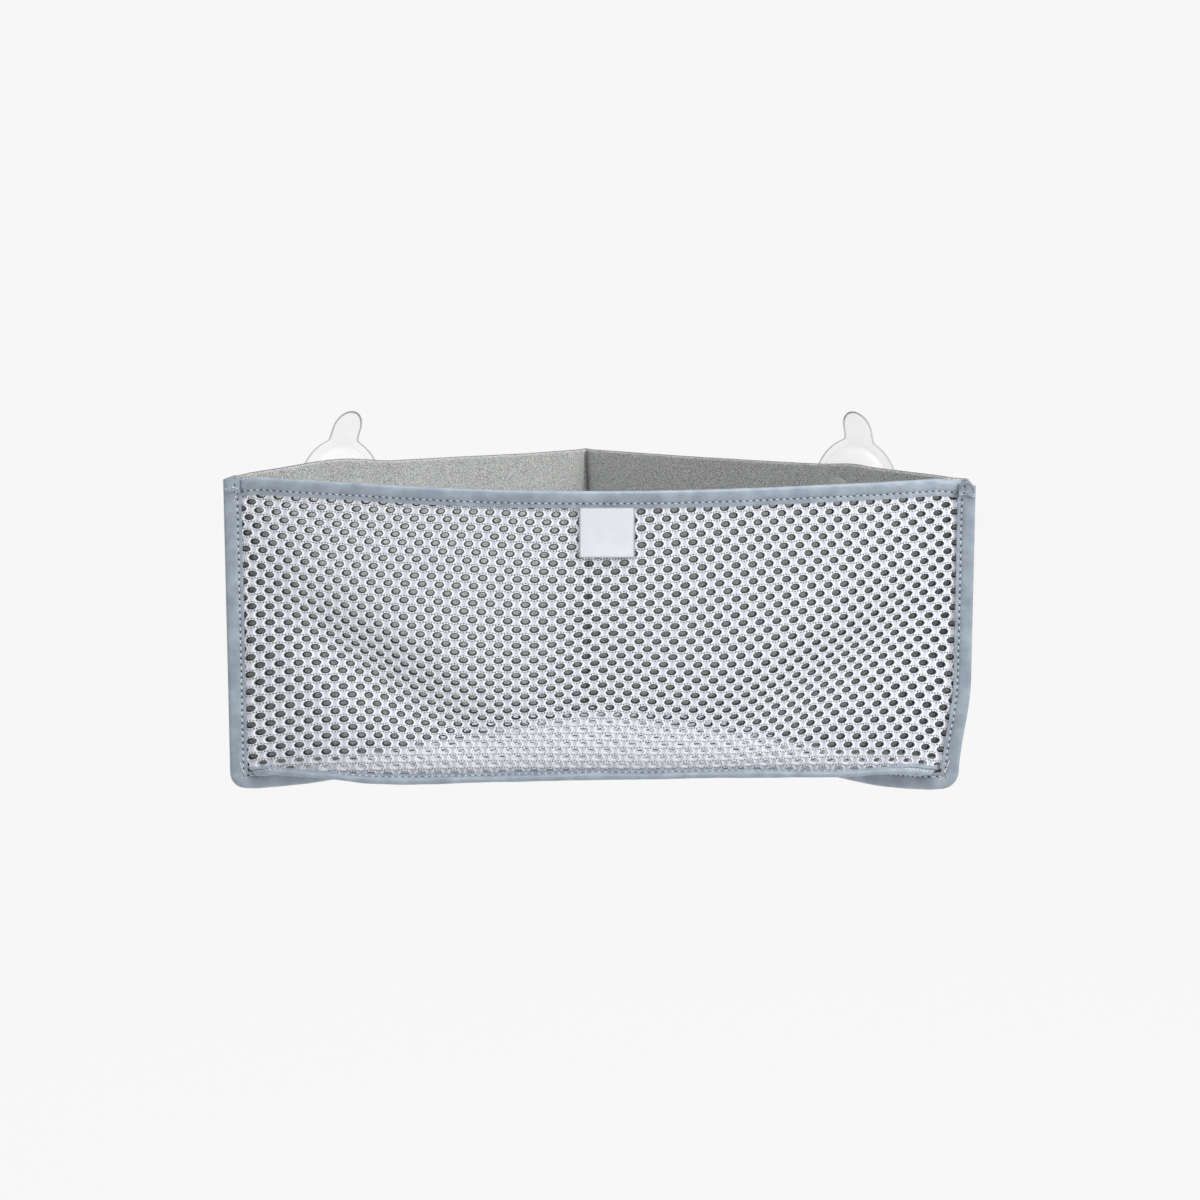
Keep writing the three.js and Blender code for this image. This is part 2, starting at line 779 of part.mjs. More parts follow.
const organizer = new THREE.Group();
[['left', -1], ['right', 1]].forEach(([word, side]) => {
  organizer.add(
    piece(`${word}_back_panel`, backPanel(side), neoprene),
    piece(`${word}_edge_binding`, edgeBinding(side), tape),
    piece(`${word}_suction_cup`, suctionCup(side), clearVinyl),
  );
});
organizer.add(
  piece('front_mesh_panel', frontNet(), whiteNet),
  piece('mesh_floor', floorNet(), whiteNet),
  piece('top_binding', topBinding(), tape),
  piece('front_bottom_binding', frontBottomBinding(), tape),
  piece('label_patch', labelPatch(), labelCloth),
);

export default organizer;
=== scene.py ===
"""Bath toy organizer for the corner of a bath wall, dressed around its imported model.

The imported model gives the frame. Net, neoprene, tape, thread, label and suction cups are
surfaces worked out on grids with numpy, in millimetres and in the model's own axes: +X
along the front, +Y into the wall corner and +Z up. A place becomes metres when its mesh is
made. A depth is a distance behind the front net's middle, or behind the inner side of a
back panel's cloth line.
"""

from __future__ import annotations

import logging
import math
from dataclasses import dataclass, field, replace
from enum import Enum
from typing import Any, Callable, Mapping, Sequence

import bpy
import numpy as np
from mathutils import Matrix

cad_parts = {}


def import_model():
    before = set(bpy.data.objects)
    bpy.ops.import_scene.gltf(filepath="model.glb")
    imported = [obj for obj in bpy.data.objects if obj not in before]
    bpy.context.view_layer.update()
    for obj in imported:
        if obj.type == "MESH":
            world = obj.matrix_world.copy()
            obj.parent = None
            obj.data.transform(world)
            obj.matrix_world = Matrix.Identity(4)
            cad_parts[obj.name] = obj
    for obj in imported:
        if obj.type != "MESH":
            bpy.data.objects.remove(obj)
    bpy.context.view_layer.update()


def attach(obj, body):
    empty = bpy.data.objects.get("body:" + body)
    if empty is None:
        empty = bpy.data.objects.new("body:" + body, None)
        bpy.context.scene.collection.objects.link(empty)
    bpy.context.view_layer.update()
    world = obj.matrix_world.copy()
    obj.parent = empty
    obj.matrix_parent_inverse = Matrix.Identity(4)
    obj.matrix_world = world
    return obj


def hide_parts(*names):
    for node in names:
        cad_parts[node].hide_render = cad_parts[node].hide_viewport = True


LOG = logging.getLogger("organizer")

Array = np.ndarray
Place = Callable[[Array, Array, Array], Array]
Pair = tuple[float, float]
Colour = tuple[float, float, float]

METRES_PER_MILLIMETRE = 0.001
FULL_TURN = 2.0 * math.pi
DIAGONAL = math.sqrt(0.5)
SURFACE_MAP = "surface"
HOLE_PITCH, ROW_SPACING = 8.07, 3.79
HOLE_WIDTH, HOLE_HEIGHT = 4.25, 2.85
NEEDLE_ROW, STITCH_PITCH = 5.9, 3.2
THREAD_CREASE = 80.0
CUP_REACH = 78.585
LABEL_SIZE = (26.0, 24.0)


class Side(Enum):
    """The two halves of the basket, and the sign of their x."""

    LEFT = -1
    RIGHT = 1

    @property
    def word(self) -> str:
        """The side's name as the model's nodes begin with it."""
        return self.name.lower()


class Body(Enum):
    """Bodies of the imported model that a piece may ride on."""

    BASKET = "basket"
    LEFT_CUP = "left_cup"
    RIGHT_CUP = "right_cup"


class Slot(Enum):
    """Material slots of the record."""

    NEOPRENE = "neoprene"
    AIR_MESH = "air_mesh"
    BINDING_TAPE = "binding_tape"
    LABEL_CLOTH = "label_cloth"
    CLEAR_VINYL = "clear_vinyl"


# ---------------------------------------------------------------- numbers


def smooth(share: Array) -> Array:
    """Eases from 0 to 1: three squares less two cubes of the share, held at both ends."""
    held = np.clip(share, 0.0, 1.0)
    return held * held * (3.0 - 2.0 * held)


def blend(low: Array, high: Array, share: Array) -> Array:
    """Straight mix of two values: low where share is 0 and high where it is 1."""
    return low + (high - low) * share


def knot_weights(share: Array, count: int) -> Array:
    """Weights of evenly spaced knots for a curve that passes through all of them.

    Between two knots the curve is the cubic whose slope at each knot is half the step
    from the knot before to the knot after. The end knots count twice.

    Args:
        share: Places from 0 at the first knot to 1 at the last.
        count: Number of knots.

    Returns:
        One row of weights for each place.
    """
    scaled = np.clip(share, 0.0, 1.0).ravel() * (count - 1)
    first = np.minimum(scaled.astype(int), count - 2)
    t = scaled - first
    parts = (
        -0.5 * t + t**2 - 0.5 * t**3,
        1.0 - 2.5 * t**2 + 1.5 * t**3,
        0.5 * t + 2.0 * t**2 - 1.5 * t**3,
        -0.5 * t**2 + 0.5 * t**3,
    )
    weights = np.zeros((t.size, count))
    for step, weight in enumerate(parts, start=-1):
        np.add.at(weights, (np.arange(t.size), np.clip(first + step, 0, count - 1)), weight)
    return weights


@dataclass(frozen=True)
class Line:
    """A smooth line through measured places, given as pairs of position and height."""

    knots: tuple[Pair, ...]
    samples: int = 96
    window: int = 5

    def __call__(self, position: Array) -> Array:
        """Height at each position, eased over a window of samples, and level past the ends.

        Args:
            position: Where the line is read.

        Returns:
            The heights.
        """
        along, height = np.array(self.knots).T
        even = np.linspace(along[0], along[-1], self.samples)
        padded = np.pad(np.interp(even, along, height), self.window // 2, mode="edge")
        eased = sum(padded[k : k + self.samples] for k in range(self.window)) / self.window
        return np.interp(position, even, eased)


@dataclass(frozen=True)
class SidedLine:
    """A line of its own for each side."""

    left: Line
    right: Line

    def __call__(self, side: Side, position: Array) -> Array:
        """Height of a side's line at each position."""
        return (self.left if side is Side.LEFT else self.right)(position)


@dataclass(frozen=True)
class Ripple:
    """A calm uneven line: three sine waves of unlike lengths, scaled to a height."""

    height: float
    length: float
    phase: float = 0.0

    def __call__(self, along: Array) -> Array:
        """Height of the ripple at each distance along.

        Args:
            along: Distances along.

        Returns:
            The heights.
        """
        turn = FULL_TURN * along / self.length
        waves = (
            0.5 * np.sin(turn + self.phase)
            + 0.3 * np.sin(2.17 * turn + 1.9 * self.phase + 1.1)
            + 0.2 * np.sin(4.63 * turn + 2.7 * self.phase + 0.4)
        )
        return self.height * waves


# ---------------------------------------------------------------- meshes


@dataclass
class Shell:
    """A closed mesh before it goes into Blender.

    Attributes:
        points: Corner places in millimetres, one row each.
        faces: Blocks of faces with equal numbers of corners.
        coords: For each block, two surface coordinates for each face corner.
        marks: Named numbers for each point.
    """

    points: Array
    faces: list[Array]
    coords: list[Array]
    marks: dict[str, Array] = field(default_factory=dict)

    @staticmethod
    def joined(shells: Sequence[Shell]) -> Shell:
        """Puts several shells without marks into one, without welding them.

        Args:
            shells: The shells, in order.

        Returns:
            One shell of all their faces.
        """
        starts = np.cumsum([0] + [len(shell.points) for shell in shells[:-1]])
        return Shell(
            points=np.concatenate([shell.points for shell in shells]),
            faces=[block + s for shell, s in zip(shells, starts) for block in shell.faces],
            coords=[block for shell in shells for block in shell.coords],
        )

    def volume(self) -> float:
        """Signed volume: the sum over a fan of triangles of the product of three corners.

        Returns:
            The volume, which is negative where the faces look inwards.
        """
        total = 0.0
        for block in self.faces:
            corner = self.points[block]
            for k in range(1, block.shape[1] - 1):
                turned = np.cross(corner[:, k], corner[:, k + 1])
                total += float(np.einsum("ij,ij->", corner[:, 0], turned))
        return total

    def facing_out(self) -> Shell:
        """The same shell, with every face turned over where its volume is negative.

        Returns:
            The shell.
        """
        if self.volume() >= 0.0:
            return self
        faces, coords = ([block[:, ::-1] for block in part] for part in (self.faces, self.coords))
        return Shell(self.points, faces, coords, self.marks)


def grid_faces(rows: int, columns: int, closed: bool) -> Array:
    """Faces of four corners between neighbouring points of a grid.

    Args:
        rows: Number of grid rows.
        columns: Number of points in a row.
        closed: Whether the last column joins the first.

    Returns:
        The corner numbers, where a point's number is its row times columns plus its column.
    """
    row = np.arange(rows - 1)[:, None] * columns
    column = np.arange(columns if closed else columns - 1)[None, :]
    after = (column + 1) % columns
    corners = (row + column, row + after, row + columns + after, row + columns + column)
    return np.stack(corners, axis=-1).reshape(-1, 4)


def grid_coords(along: Array, around: Array) -> Array:
    """Surface coordinates of grid faces: along for the rows, around for the columns.

    Args:
        along: One value for each row.
        around: One value for each column edge, one more than a closed row has points.

    Returns:
        Two coordinates for each corner of each face, in the order of grid_faces.
    """
    pair = np.stack(np.meshgrid(along, around, indexing="ij"), axis=-1)
    corners = (pair[:-1, :-1], pair[:-1, 1:], pair[1:, 1:], pair[1:, :-1])
    return np.stack(corners, axis=2).reshape(-1, 4, 2)


def tubes(rings: Array, along: Array, around: Array) -> Shell:
    """Bodies of one form. Each joins its closed rings in order, with a flat face at each end.

    Args:
        rings: Points of the bodies, shaped bodies by rings by points by 3.
        along: Surface coordinate of each ring.
        around: Surface coordinate round a ring, with one more value than a ring has points.

    Returns:
        The closed bodies as one shell.
    """
    bodies, count, size, _ = rings.shape
    starts = np.arange(bodies)[:, None, None] * count * size
    ring = np.arange(size)[None, :]
    blocks = (grid_faces(count, size, closed=True), ring[:, ::-1], ring + (count - 1) * size)
    first, last = (
        np.stack([np.full(size, along[row]), around[:-1]], axis=-1)[None] for row in (0, -1)
    )
    coords = (grid_coords(along, around), first[:, ::-1], last)
    return Shell(
        points=rings.reshape(-1, 3),
        faces=[(block + starts).reshape(-1, block.shape[1]) for block in blocks],
        coords=[np.tile(pairs, (bodies, 1, 1)) for pairs in coords],
    )


def slab(front: Array, back: Array, coords: tuple[Array, Array]) -> Shell:
    """A sheet with thickness, between two grids of equal size, with walls round its edge.

    Args:
        front: Points of the front grid, rows by columns by 3.
        back: Points of the back grid.
        coords: Surface coordinates of the rows and of the columns.

    Returns:
        The closed shell.
    """
    rows, columns, _ = front.shape
    count = rows * columns
    number = np.arange(count).reshape(rows, columns)
    edge = np.concatenate([number[0, :-1], number[:-1, -1], number[-1, :0:-1], number[:0:-1, 0]])
    after = np.roll(edge, -1)
    walls = np.stack([after, edge, edge + count, after + count], axis=-1)
    pairs = np.stack(np.meshgrid(*coords, indexing="ij"), axis=-1).reshape(-1, 2)
    faces = grid_faces(rows, columns, closed=False)
    return Shell(
        points=np.concatenate([front.reshape(-1, 3), back.reshape(-1, 3)]),
        faces=[faces, faces[:, ::-1] + count, walls],
        coords=[pairs[faces], pairs[faces][:, ::-1], pairs[walls % count]],
    )


def mesh_object(
    name: str, shell: Shell, material: bpy.types.Material, crease: float = 50.0
) -> bpy.types.Object:
    """Makes a Blender object of a shell, with its place in its mesh.

    Args:
        name: Name of the object.
        shell: The mesh's points, faces, surface coordinates and marks.
        material: Its material.
        crease: Angle in degrees above which an edge stays sharp.

    Returns:
        The new object, linked to the scene.
    """
    shell = shell.facing_out()
    sizes = np.concatenate([np.full(len(block), block.shape[1]) for block in shell.faces])
    corners = np.concatenate([block.ravel() for block in shell.faces])
    pairs = np.concatenate([block.reshape(-1, 2) for block in shell.coords])
    mesh = bpy.data.meshes.new(name)
    mesh.vertices.add(len(shell.points))
    mesh.loops.add(corners.size)
    mesh.polygons.add(sizes.size)
    places = (shell.points * METRES_PER_MILLIMETRE).astype(np.float32)
    mesh.vertices.foreach_set("co", places.ravel())
    mesh.loops.foreach_set("vertex_index", corners.astype(np.int32))
    mesh.polygons.foreach_set("loop_start", (np.cumsum(sizes) - sizes).astype(np.int32))
    mesh.update(calc_edges=True)
    layer = mesh.uv_layers.new(name=SURFACE_MAP)
    layer.data.foreach_set("uv", pairs.astype(np.float32).ravel())
    for mark, values in shell.marks.items():
        attribute = mesh.attributes.new(mark, "FLOAT", "POINT")
        attribute.data.foreach_set("value", values.astype(np.float32))
    mesh.polygons.foreach_set("use_smooth", np.ones(sizes.size, dtype=bool))
    mesh.set_sharp_from_angle(angle=math.radians(crease))
    mesh.materials.append(material)
    mesh.validate()
    piece = bpy.data.objects.new(name, mesh)
    bpy.context.scene.collection.objects.link(piece)
    return piece


def ride(
    piece: bpy.types.Object, body: Body, slot: Slot | None = None, node: str | None = None
) -> None:
    """Joins a piece to a body of the model.

    Args:
        piece: The piece.
        body: The body it moves with.
        slot: The record's material slot, if any; not used.
        node: The model's node that it stands for, if any.
    """
    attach(piece, body.value)
    if node is not None:
        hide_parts(node)
    LOG.info("%s: %d faces on %s", piece.name, len(piece.data.polygons), body.value)


def lay_thread(name: str, stitches: Shell, material: bpy.types.Material) -> None:
    """Makes the stitches of a piece, which ride on the basket."""
    ride(mesh_object(f"{name}_stitches", stitches, material, THREAD_CREASE), Body.BASKET)


# ---------------------------------------------------------------- shader nodes


def math_node(operation: str, swapped: bool = False) -> Callable[..., Signal]:
    """A method for Signal that adds a Math node.

    Args:
        operation: What the node works out.
        swapped: Whether the signal stands after the other number.

    Returns:
        The method. It takes the other number, where the node needs one.
    """

    def method(signal: Signal, *others: Any) -> Signal:
        """The node's result for this signal.

        Args:
            signal: What the method is called on.
            others: The other number, where there is one.

        Returns:
            The node's result.
        """
        values = (*others, signal) if swapped else (signal, *others)
        sockets = dict(enumerate(values))
        return signal.graph.signal("ShaderNodeMath", {"operation": operation}, sockets)

    return method


class Signal:
    """A number that runs between nodes. Arithmetic on it adds Math nodes."""

    def __init__(self, graph: Graph, socket: bpy.types.NodeSocket) -> None:
        """Wraps one output socket of a graph."""
        self.graph = graph
        self.socket = socket

    __add__ = __radd__ = math_node("ADD")
    __sub__ = math_node("SUBTRACT")
    __rsub__ = math_node("SUBTRACT", swapped=True)
    __mul__ = __rmul__ = math_node("MULTIPLY")
    __truediv__ = math_node("DIVIDE")
    __pow__ = math_node("POWER")
    __abs__ = math_node("ABSOLUTE")
    sine = math_node("SINE")
    rounded = math_node("ROUND")
    lowest = math_node("MINIMUM")
    highest = math_node("MAXIMUM")

    def off_nearest(self, step: float) -> Signal:
        """Distance to the nearest whole multiple of a step."""
        return abs(self - (self / step).rounded() * step)

    def wave(self, length: float) -> Signal:
        """A sine wave of this length, from 0 to 1."""
        return (self * (FULL_TURN / length)).sine() * 0.5 + 0.5

    def ease(self, start: float, end: float) -> Signal:
        """Eases from 0 at start to 1 at end.

        Args:
            start: Value up to which it is 0.
            end: Value from which it is 1.

        Returns:
            The eased signal.
        """
        sockets = {"Value": self, "From Min": start, "From Max": end}
        settings = {"interpolation_type": "SMOOTHSTEP"}
        return self.graph.signal("ShaderNodeMapRange", settings, sockets)

    def near(self, start: float, end: float) -> Signal:
        """Eases from 1 at start to 0 at end."""
        return 1.0 - self.ease(start, end)


class Graph:
    """The nodes of one material, or of the world."""

    def __init__(self, owner: bpy.types.Material | bpy.types.World) -> None:
        """Gives its owner nodes, which begin as one shader and the output.

        Args:
            owner: The material or world.
        """
        owner.use_nodes = True
        self.owner = owner
        self.nodes = owner.node_tree.nodes
        self.links = owner.node_tree.links

    @staticmethod
    def named(name: str) -> Graph:
        """The nodes of a new material."""
        return Graph(bpy.data.materials.new(name))

    def connect(self, socket: bpy.types.NodeSocket, value: Any) -> None:
        """Links a signal or socket to an input, or sets its number or colour.

        Args:
            socket: The input.
            value: A signal, socket, number or colour.
        """
        if isinstance(value, Signal):
            value = value.socket
        if isinstance(value, bpy.types.NodeSocket):
            self.links.new(value, socket)
        else:
            socket.default_value = (*value, 1.0) if isinstance(value, tuple) else value

    def add(
        self, kind: str, settings: Mapping[str, Any], sockets: Mapping[Any, Any]
    ) -> bpy.types.Node:
        """Adds a node, sets what it is, then its inputs.

        Args:
            kind: The node's type.
            settings: Its properties.
            sockets: Values or links of its inputs, by name or number.

        Returns:
            The node.
        """
        node = self.nodes.new(kind)
        for name, value in settings.items():
            setattr(node, name, value)
        for name, value in sockets.items():
            self.connect(node.inputs[name], value)
        return node

    def signal(
        self,
        kind: str,
        settings: Mapping[str, Any],
        sockets: Mapping[Any, Any],
        output: str | int = 0,
    ) -> Signal:
        """Adds a node as add does, and wraps one of its outputs."""
        return Signal(self, self.add(kind, settings, sockets).outputs[output])

    def surface(self) -> tuple[Signal, Signal]:
        """The piece's own two surface coordinates, in millimetres.

        Returns:
            The first coordinate and the second.
        """
        uv = self.add("ShaderNodeUVMap", {"uv_map": SURFACE_MAP}, {})
        parts = self.add("ShaderNodeSeparateXYZ", {}, {0: uv.outputs[0]})
        return Signal(self, parts.outputs[0]), Signal(self, parts.outputs[1])

    def mark(self, name: str) -> Signal:
        """A number that the mesh carries under that name."""
        return self.signal("ShaderNodeAttribute", {"attribute_name": name}, {}, "Fac")

    def plane(self, first: Any, second: Any) -> bpy.types.NodeSocket:
        """A vector of two signals, for a texture on the surface coordinates."""
        return self.add("ShaderNodeCombineXYZ", {}, {0: first, 1: second}).outputs[0]

    def noise(
        self, scale: float, detail: float = 2.0, vector: Any = None, roughness: float = 0.5
    ) -> Signal:
        """Cloudy noise from 0 to 1.

        Args:
            scale: Clouds per unit of the vector.
            detail: Number of finer layers.
            vector: Where it is read, the Object coordinates in metres if left out.
            roughness: Weight of the finer layers.

        Returns:
            The noise.
        """
        if vector is None:
            vector = self.add("ShaderNodeTexCoord", {}, {}).outputs["Object"]
        sockets = {"Vector": vector, "Scale": scale, "Detail": detail, "Roughness": roughness}
        return self.signal("ShaderNodeTexNoise", {}, sockets, "Fac")

    def mix(self, first: Any, second: Any, share: Any) -> bpy.types.NodeSocket:
        """Colour between two colours: the first where share is 0."""
        sockets = {0: share, 6: first, 7: second}
        return self.add("ShaderNodeMix", {"data_type": "RGBA"}, sockets).outputs[2]

    def bump(self, height: Signal, distance: float) -> None:
        """Raises the shading by a height, in millimetres times distance.

        Args:
            height: The height.
            distance: Millimetres for a height of 1.
        """
        sockets = {"Height": height, "Distance": distance * METRES_PER_MILLIMETRE}
        node = self.add("ShaderNodeBump", {}, sockets)
        self.connect(self.nodes["Principled BSDF"].inputs["Normal"], node.outputs[0])

    def finish(self, sockets: Mapping[str, Any]) -> bpy.types.Material:
        """Sets the shader's own inputs and returns the material.

        Args:
            sockets: Values or links of the shader's inputs, by name.

        Returns:
            The material.
        """
        for name, value in sockets.items():
            self.connect(self.nodes["Principled BSDF"].inputs[name], value)
        return self.owner

    def seen_by(self, *rays: str) -> Signal:
        """1 where a ray of any of these kinds looks.

        Args:
            rays: Names of the light path's outputs.

        Returns:
            The signal.
        """
        path = self.add("ShaderNodeLightPath", {}, {})
        seen = Signal(self, path.outputs[rays[0]])
        for ray in rays[1:]:
            seen = seen.highest(path.outputs[ray])
        return seen

    def part_shaders(self, share: Signal, first: bpy.types.Node, second: bpy.types.Node) -> None:
        """Puts a mix of two shaders on the output: the first where share is 0.

        Args:
            share: Share of the second shader.
            first: Shader where the share is 0.
            second: Shader where the share is 1.
        """
        sockets = {0: share, 1: first.outputs[0], 2: second.outputs[0]}
        mixed = self.add("ShaderNodeMixShader", {}, sockets)
        output = next(node for node in self.nodes if "Surface" in node.inputs)
        self.connect(output.inputs["Surface"], mixed.outputs[0])


@dataclass(frozen=True)
class NeopreneFinish:
    """Grey foam rubber with a finely speckled knitted face.

    The speckle is noise of two sizes, and a soft cloud of a few centimetres shifts its
    grey. Where the mesh marks a cut edge, the dark foam between the faces shows. At the
    right panel's end in the corner seam, the same dark is also painted shade of the
    seam's crevice.
    """

    light: Colour = (0.64, 0.655, 0.635)
    dark: Colour = (0.175, 0.18, 0.172)
    foam: Colour = (0.05, 0.052, 0.05)
    grain: float = 1750.0
    grain_span: Pair = (0.41, 0.61)
    grain_share: float = 0.85
    grain_height: float = 0.14
    cloud: float = 28.0
    cut_span: Pair = (0.5, 0.95)
    cut_share: float = 0.85

    def material(self) -> bpy.types.Material:
        """The Blender material.

        Returns:
            The material.
        """
        graph = Graph.named("grey neoprene")
        grain = graph.noise(self.grain, detail=3.0, roughness=0.7)
        cloud = graph.noise(self.cloud, detail=1.0)
        share = grain.ease(*self.grain_span) * self.grain_share + cloud * (1.0 - self.grain_share)
        graph.bump(grain, self.grain_height)
        knit = graph.mix(self.dark, self.light, share)
        # Dark foam on cut edges; at the right panel's seam end, also painted shade of the seam's
        # crevice.
        cut = graph.mark("cut").ease(*self.cut_span)
        colour = graph.mix(knit, self.foam, cut * self.cut_share)
        return graph.finish(
            {"Base Color": colour, "Roughness": 0.88, "Sheen Weight": 0.25, "Sheen Roughness": 0.5}
        )


@dataclass(frozen=True)
class AirMeshFinish:
    """White knitted spacer net.

    The surface coordinates are millimetres from the middle of each cell's own hole. A
    ring of painted highlight brightens the raised yarn round each hole's rim, and tiny knit
    gaps stand above and below each hole. Inside the rim, painted shade darkens the wall of
    the hole, with a dark painted ring at its edge, and the wall turns to painted light
    where the mesh marks it as lit by the floor. A ring's place counts the hole's own
    radius as 1.
    """

    bright: Colour = (0.96, 0.965, 0.98)
    yarn: Colour = (0.54, 0.56, 0.65)
    gap: Colour = (0.04, 0.045, 0.06)
    # Painted shade on the walls of the holes, and painted light from the floor where the mesh
    # marks a wall lit.
    inside: Colour = (0.022, 0.025, 0.032)
    painted_floor_light: Colour = (0.95, 0.96, 0.98)
    # A ring of painted highlight on the raised yarn round each hole.
    rim_place: float = 1.3
    rim_width: float = 0.34
    # A dark ring of painted shade at each hole's edge, in the colour of the knit gaps.
    wall_span: Pair = (0.96, 1.08)
    outline_place: float = 1.06
    outline_width: float = 0.09
    gap_radius: float = 0.33
    gap_edge: Pair = (0.55, 1.35)
    gap_across: float = 1.35
    gap_up: float = 2.12
    gap_arch: float = 0.32
    knit_scale: float = 2.1
    knit_span: Pair = (0.3, 0.75)
    knit_height: float = 0.12
    course_pitch: float = 0.62
    course_bend: float = 1.7
    rim_highlight_share: float = 0.9
    knit_share: float = 0.5
    course_share: float = 0.22
    edge_shade_share: float = 0.55
    relief: tuple[float, float, float, float] = (0.7, 0.35, 1.2, 0.4)

    def material(self) -> bpy.types.Material:
        """The Blender material.

        Returns:
            The material.
        """
        graph = Graph.named("white air mesh")
        across, up = graph.surface()
        wide, high = abs(across), abs(up)
        oval = (across / (HOLE_WIDTH / 2)) ** 2.0 + (up / (HOLE_HEIGHT / 2)) ** 2.0
        oval = oval**0.5
        # Painted highlight: a bright ring on the raised yarn round the hole.
        rim = abs(oval - self.rim_place).near(0.0, self.rim_width) * self.rim_highlight_share
        gaps = self._gaps(wide, high)
        where = graph.plane(across, up)
        knit = graph.noise(self.knit_scale, detail=3.0, vector=where, roughness=0.65)
        turn = up * (FULL_TURN / self.course_pitch) + wide * self.course_bend
        courses = turn.sine() * 0.5 + 0.5
        brightness = (rim + knit.ease(*self.knit_span) * self.knit_share).lowest(1.0)
        face = graph.mix(self.yarn, self.bright, brightness)
        coursed = graph.mix(face, self.yarn, courses * self.course_share)
        pierced = graph.mix(coursed, self.gap, gaps)
        # Painted shade on the hole's wall and a painted dark ring at its edge, with painted light
        # from the floor where the mesh marks the wall lit.
        walls = oval.near(*self.wall_span)
        line = abs(oval - self.outline_place).near(0.0, self.outline_width)
        outline = line * self.edge_shade_share
        depths = graph.mix(self.inside, self.painted_floor_light, graph.mark("lit"))
        yarn, course, gap, ring = self.relief
        relief = knit * yarn + courses * course - gaps * gap + rim * ring
        graph.bump(relief, self.knit_height)
        inner = graph.mix(pierced, depths, walls)
        colour = graph.mix(inner, self.gap, outline)
        return graph.finish(
            {"Base Color": colour, "Roughness": 0.72, "Sheen Weight": 0.2, "Sheen Roughness": 0.4}
        )

    def _gaps(self, wide: Signal, high: Signal) -> Signal:
        """Knit gaps: three dots in an arch above a hole and three below it.

        A dot that falls past the cell's edge is drawn in the neighbour's own coordinates,
        one half pitch across and one row up or down.

        Args:
            wide: Distance across from the hole's middle, without sign.
            high: Distance up from the hole's middle, without sign.

        Returns:
            1 in the dots.
        """
        beside, above = HOLE_PITCH / 2, ROW_SPACING - self.gap_up
        spots = (
            (self.gap_across, self.gap_up - self.gap_arch),
            (0.0, self.gap_up),
            (beside - self.gap_across, above + self.gap_arch),
            (beside, above),
        )
        nearest: Signal | None = None
        for x, y in spots:
            distance = ((wide - x) ** 2.0 + (high - y) ** 2.0) ** 0.5
            nearest = distance if nearest is None else nearest.lowest(distance)
        return nearest.near(*(self.gap_radius * share for share in self.gap_edge))


@dataclass(frozen=True)
class TapeFinish:
    """Grey-blue satin binding tape.

    The surface coordinates are millimetres along the tape and from its fold. Fine slanted
    ribs run over it, needle holes stand along its stitch row, and the cloth puckers
    between them. Painted shade can darken the row itself, for the shadow in its stitch
    groove. Where the mesh marks lip, a painted shadow as dark as a needle hole stands for
    the gap between a folded end and the tape under it.
    """

    name: str = "grey-blue satin tape"
    light: Colour = (0.37, 0.43, 0.49)
    dark: Colour = (0.17, 0.21, 0.26)
    hole: Colour = (0.012, 0.016, 0.024)
    hole_radius: float = 0.5
    hole_edge: Pair = (0.5, 1.3)
    hole_flatness: float = 1.25
    # Painted shade along the stitch row, for the shadow in its groove.
    row_shade: float = 0.0
    row_span: Pair = (0.3, 1.1)
    pucker_size: Pair = (1.5, 2.6)
    rib_pitch: float = 0.42
    rib_height: float = 0.05
    cloud: float = 0.11
    cloud_span: Pair = (0.25, 0.75)
    fleck: float = 2.6
    wrinkle: float = 0.5
    wrinkle_stretch: Pair = (0.6, 1.3)
    shade: tuple[float, float, float] = (0.5, 0.35, 0.15)
    relief: tuple[float, float, float, float, float] = (0.25, 0.5, 6.0, 2.4, 5.0)

    def material(self) -> bpy.types.Material:
        """The Blender material.

        Returns:
            The material.
        """
        graph = Graph.named(self.name)
        along, inset = graph.surface()
        where = graph.plane(along, inset)
        from_fold = abs(inset)
        ribs = (along + inset).wave(self.rib_pitch)
        cloud = graph.noise(self.cloud, vector=where)
        fleck = graph.noise(self.fleck, vector=where)
        holes, pucker = self._stitching(along, from_fold)
        cloudy, flecked, ribbed = self.shade
        share = cloud.ease(*self.cloud_span) * cloudy + fleck * flecked + ribs * ribbed
        cloth = graph.mix(self.dark, self.light, share)
        wide, high = self.wrinkle_stretch
        wrinkle = graph.noise(self.wrinkle, vector=graph.plane(along * wide, inset * high))
        rib, speck, fold, swell, hole = self.relief
        relief = ribs * rib + fleck * speck + wrinkle * fold + pucker * swell - holes * hole
        graph.bump(relief, self.rib_height)
        # The painted shadow that the mesh marks lip takes the needle holes' dark.
        return graph.finish(
            {
                "Base Color": graph.mix(cloth, self.hole, holes.highest(graph.mark("lip"))),
                "Roughness": 0.36,
                "Sheen Weight": 0.2,
                "Sheen Roughness": 0.35,
                "Specular IOR Level": 0.5,
            }
        )

    def _stitching(self, along: Signal, from_fold: Signal) -> tuple[Signal, Signal]:
        """Needle holes, and the pucker between them.

        Args:
            along: Distance along the tape.
            from_fold: Distance from its fold, without sign.

        Returns:
            1 in the holes and the painted row shade, and 1 on the swellings between holes.
        """
        beside = along.off_nearest(STITCH_PITCH)
        off = abs(from_fold - NEEDLE_ROW)
        spread = ((off * self.hole_flatness) ** 2.0 + beside**2.0) ** 0.5
        hole = spread.near(*(self.hole_radius * share for share in self.hole_edge))
        long, wide = self.pucker_size
        pucker = off.near(0.0, wide) * beside.ease(0.0, long)
        # Painted shade along the row, for the shadow in its stitch groove.
        return hole.highest(off.near(*self.row_span) * self.row_shade), pucker


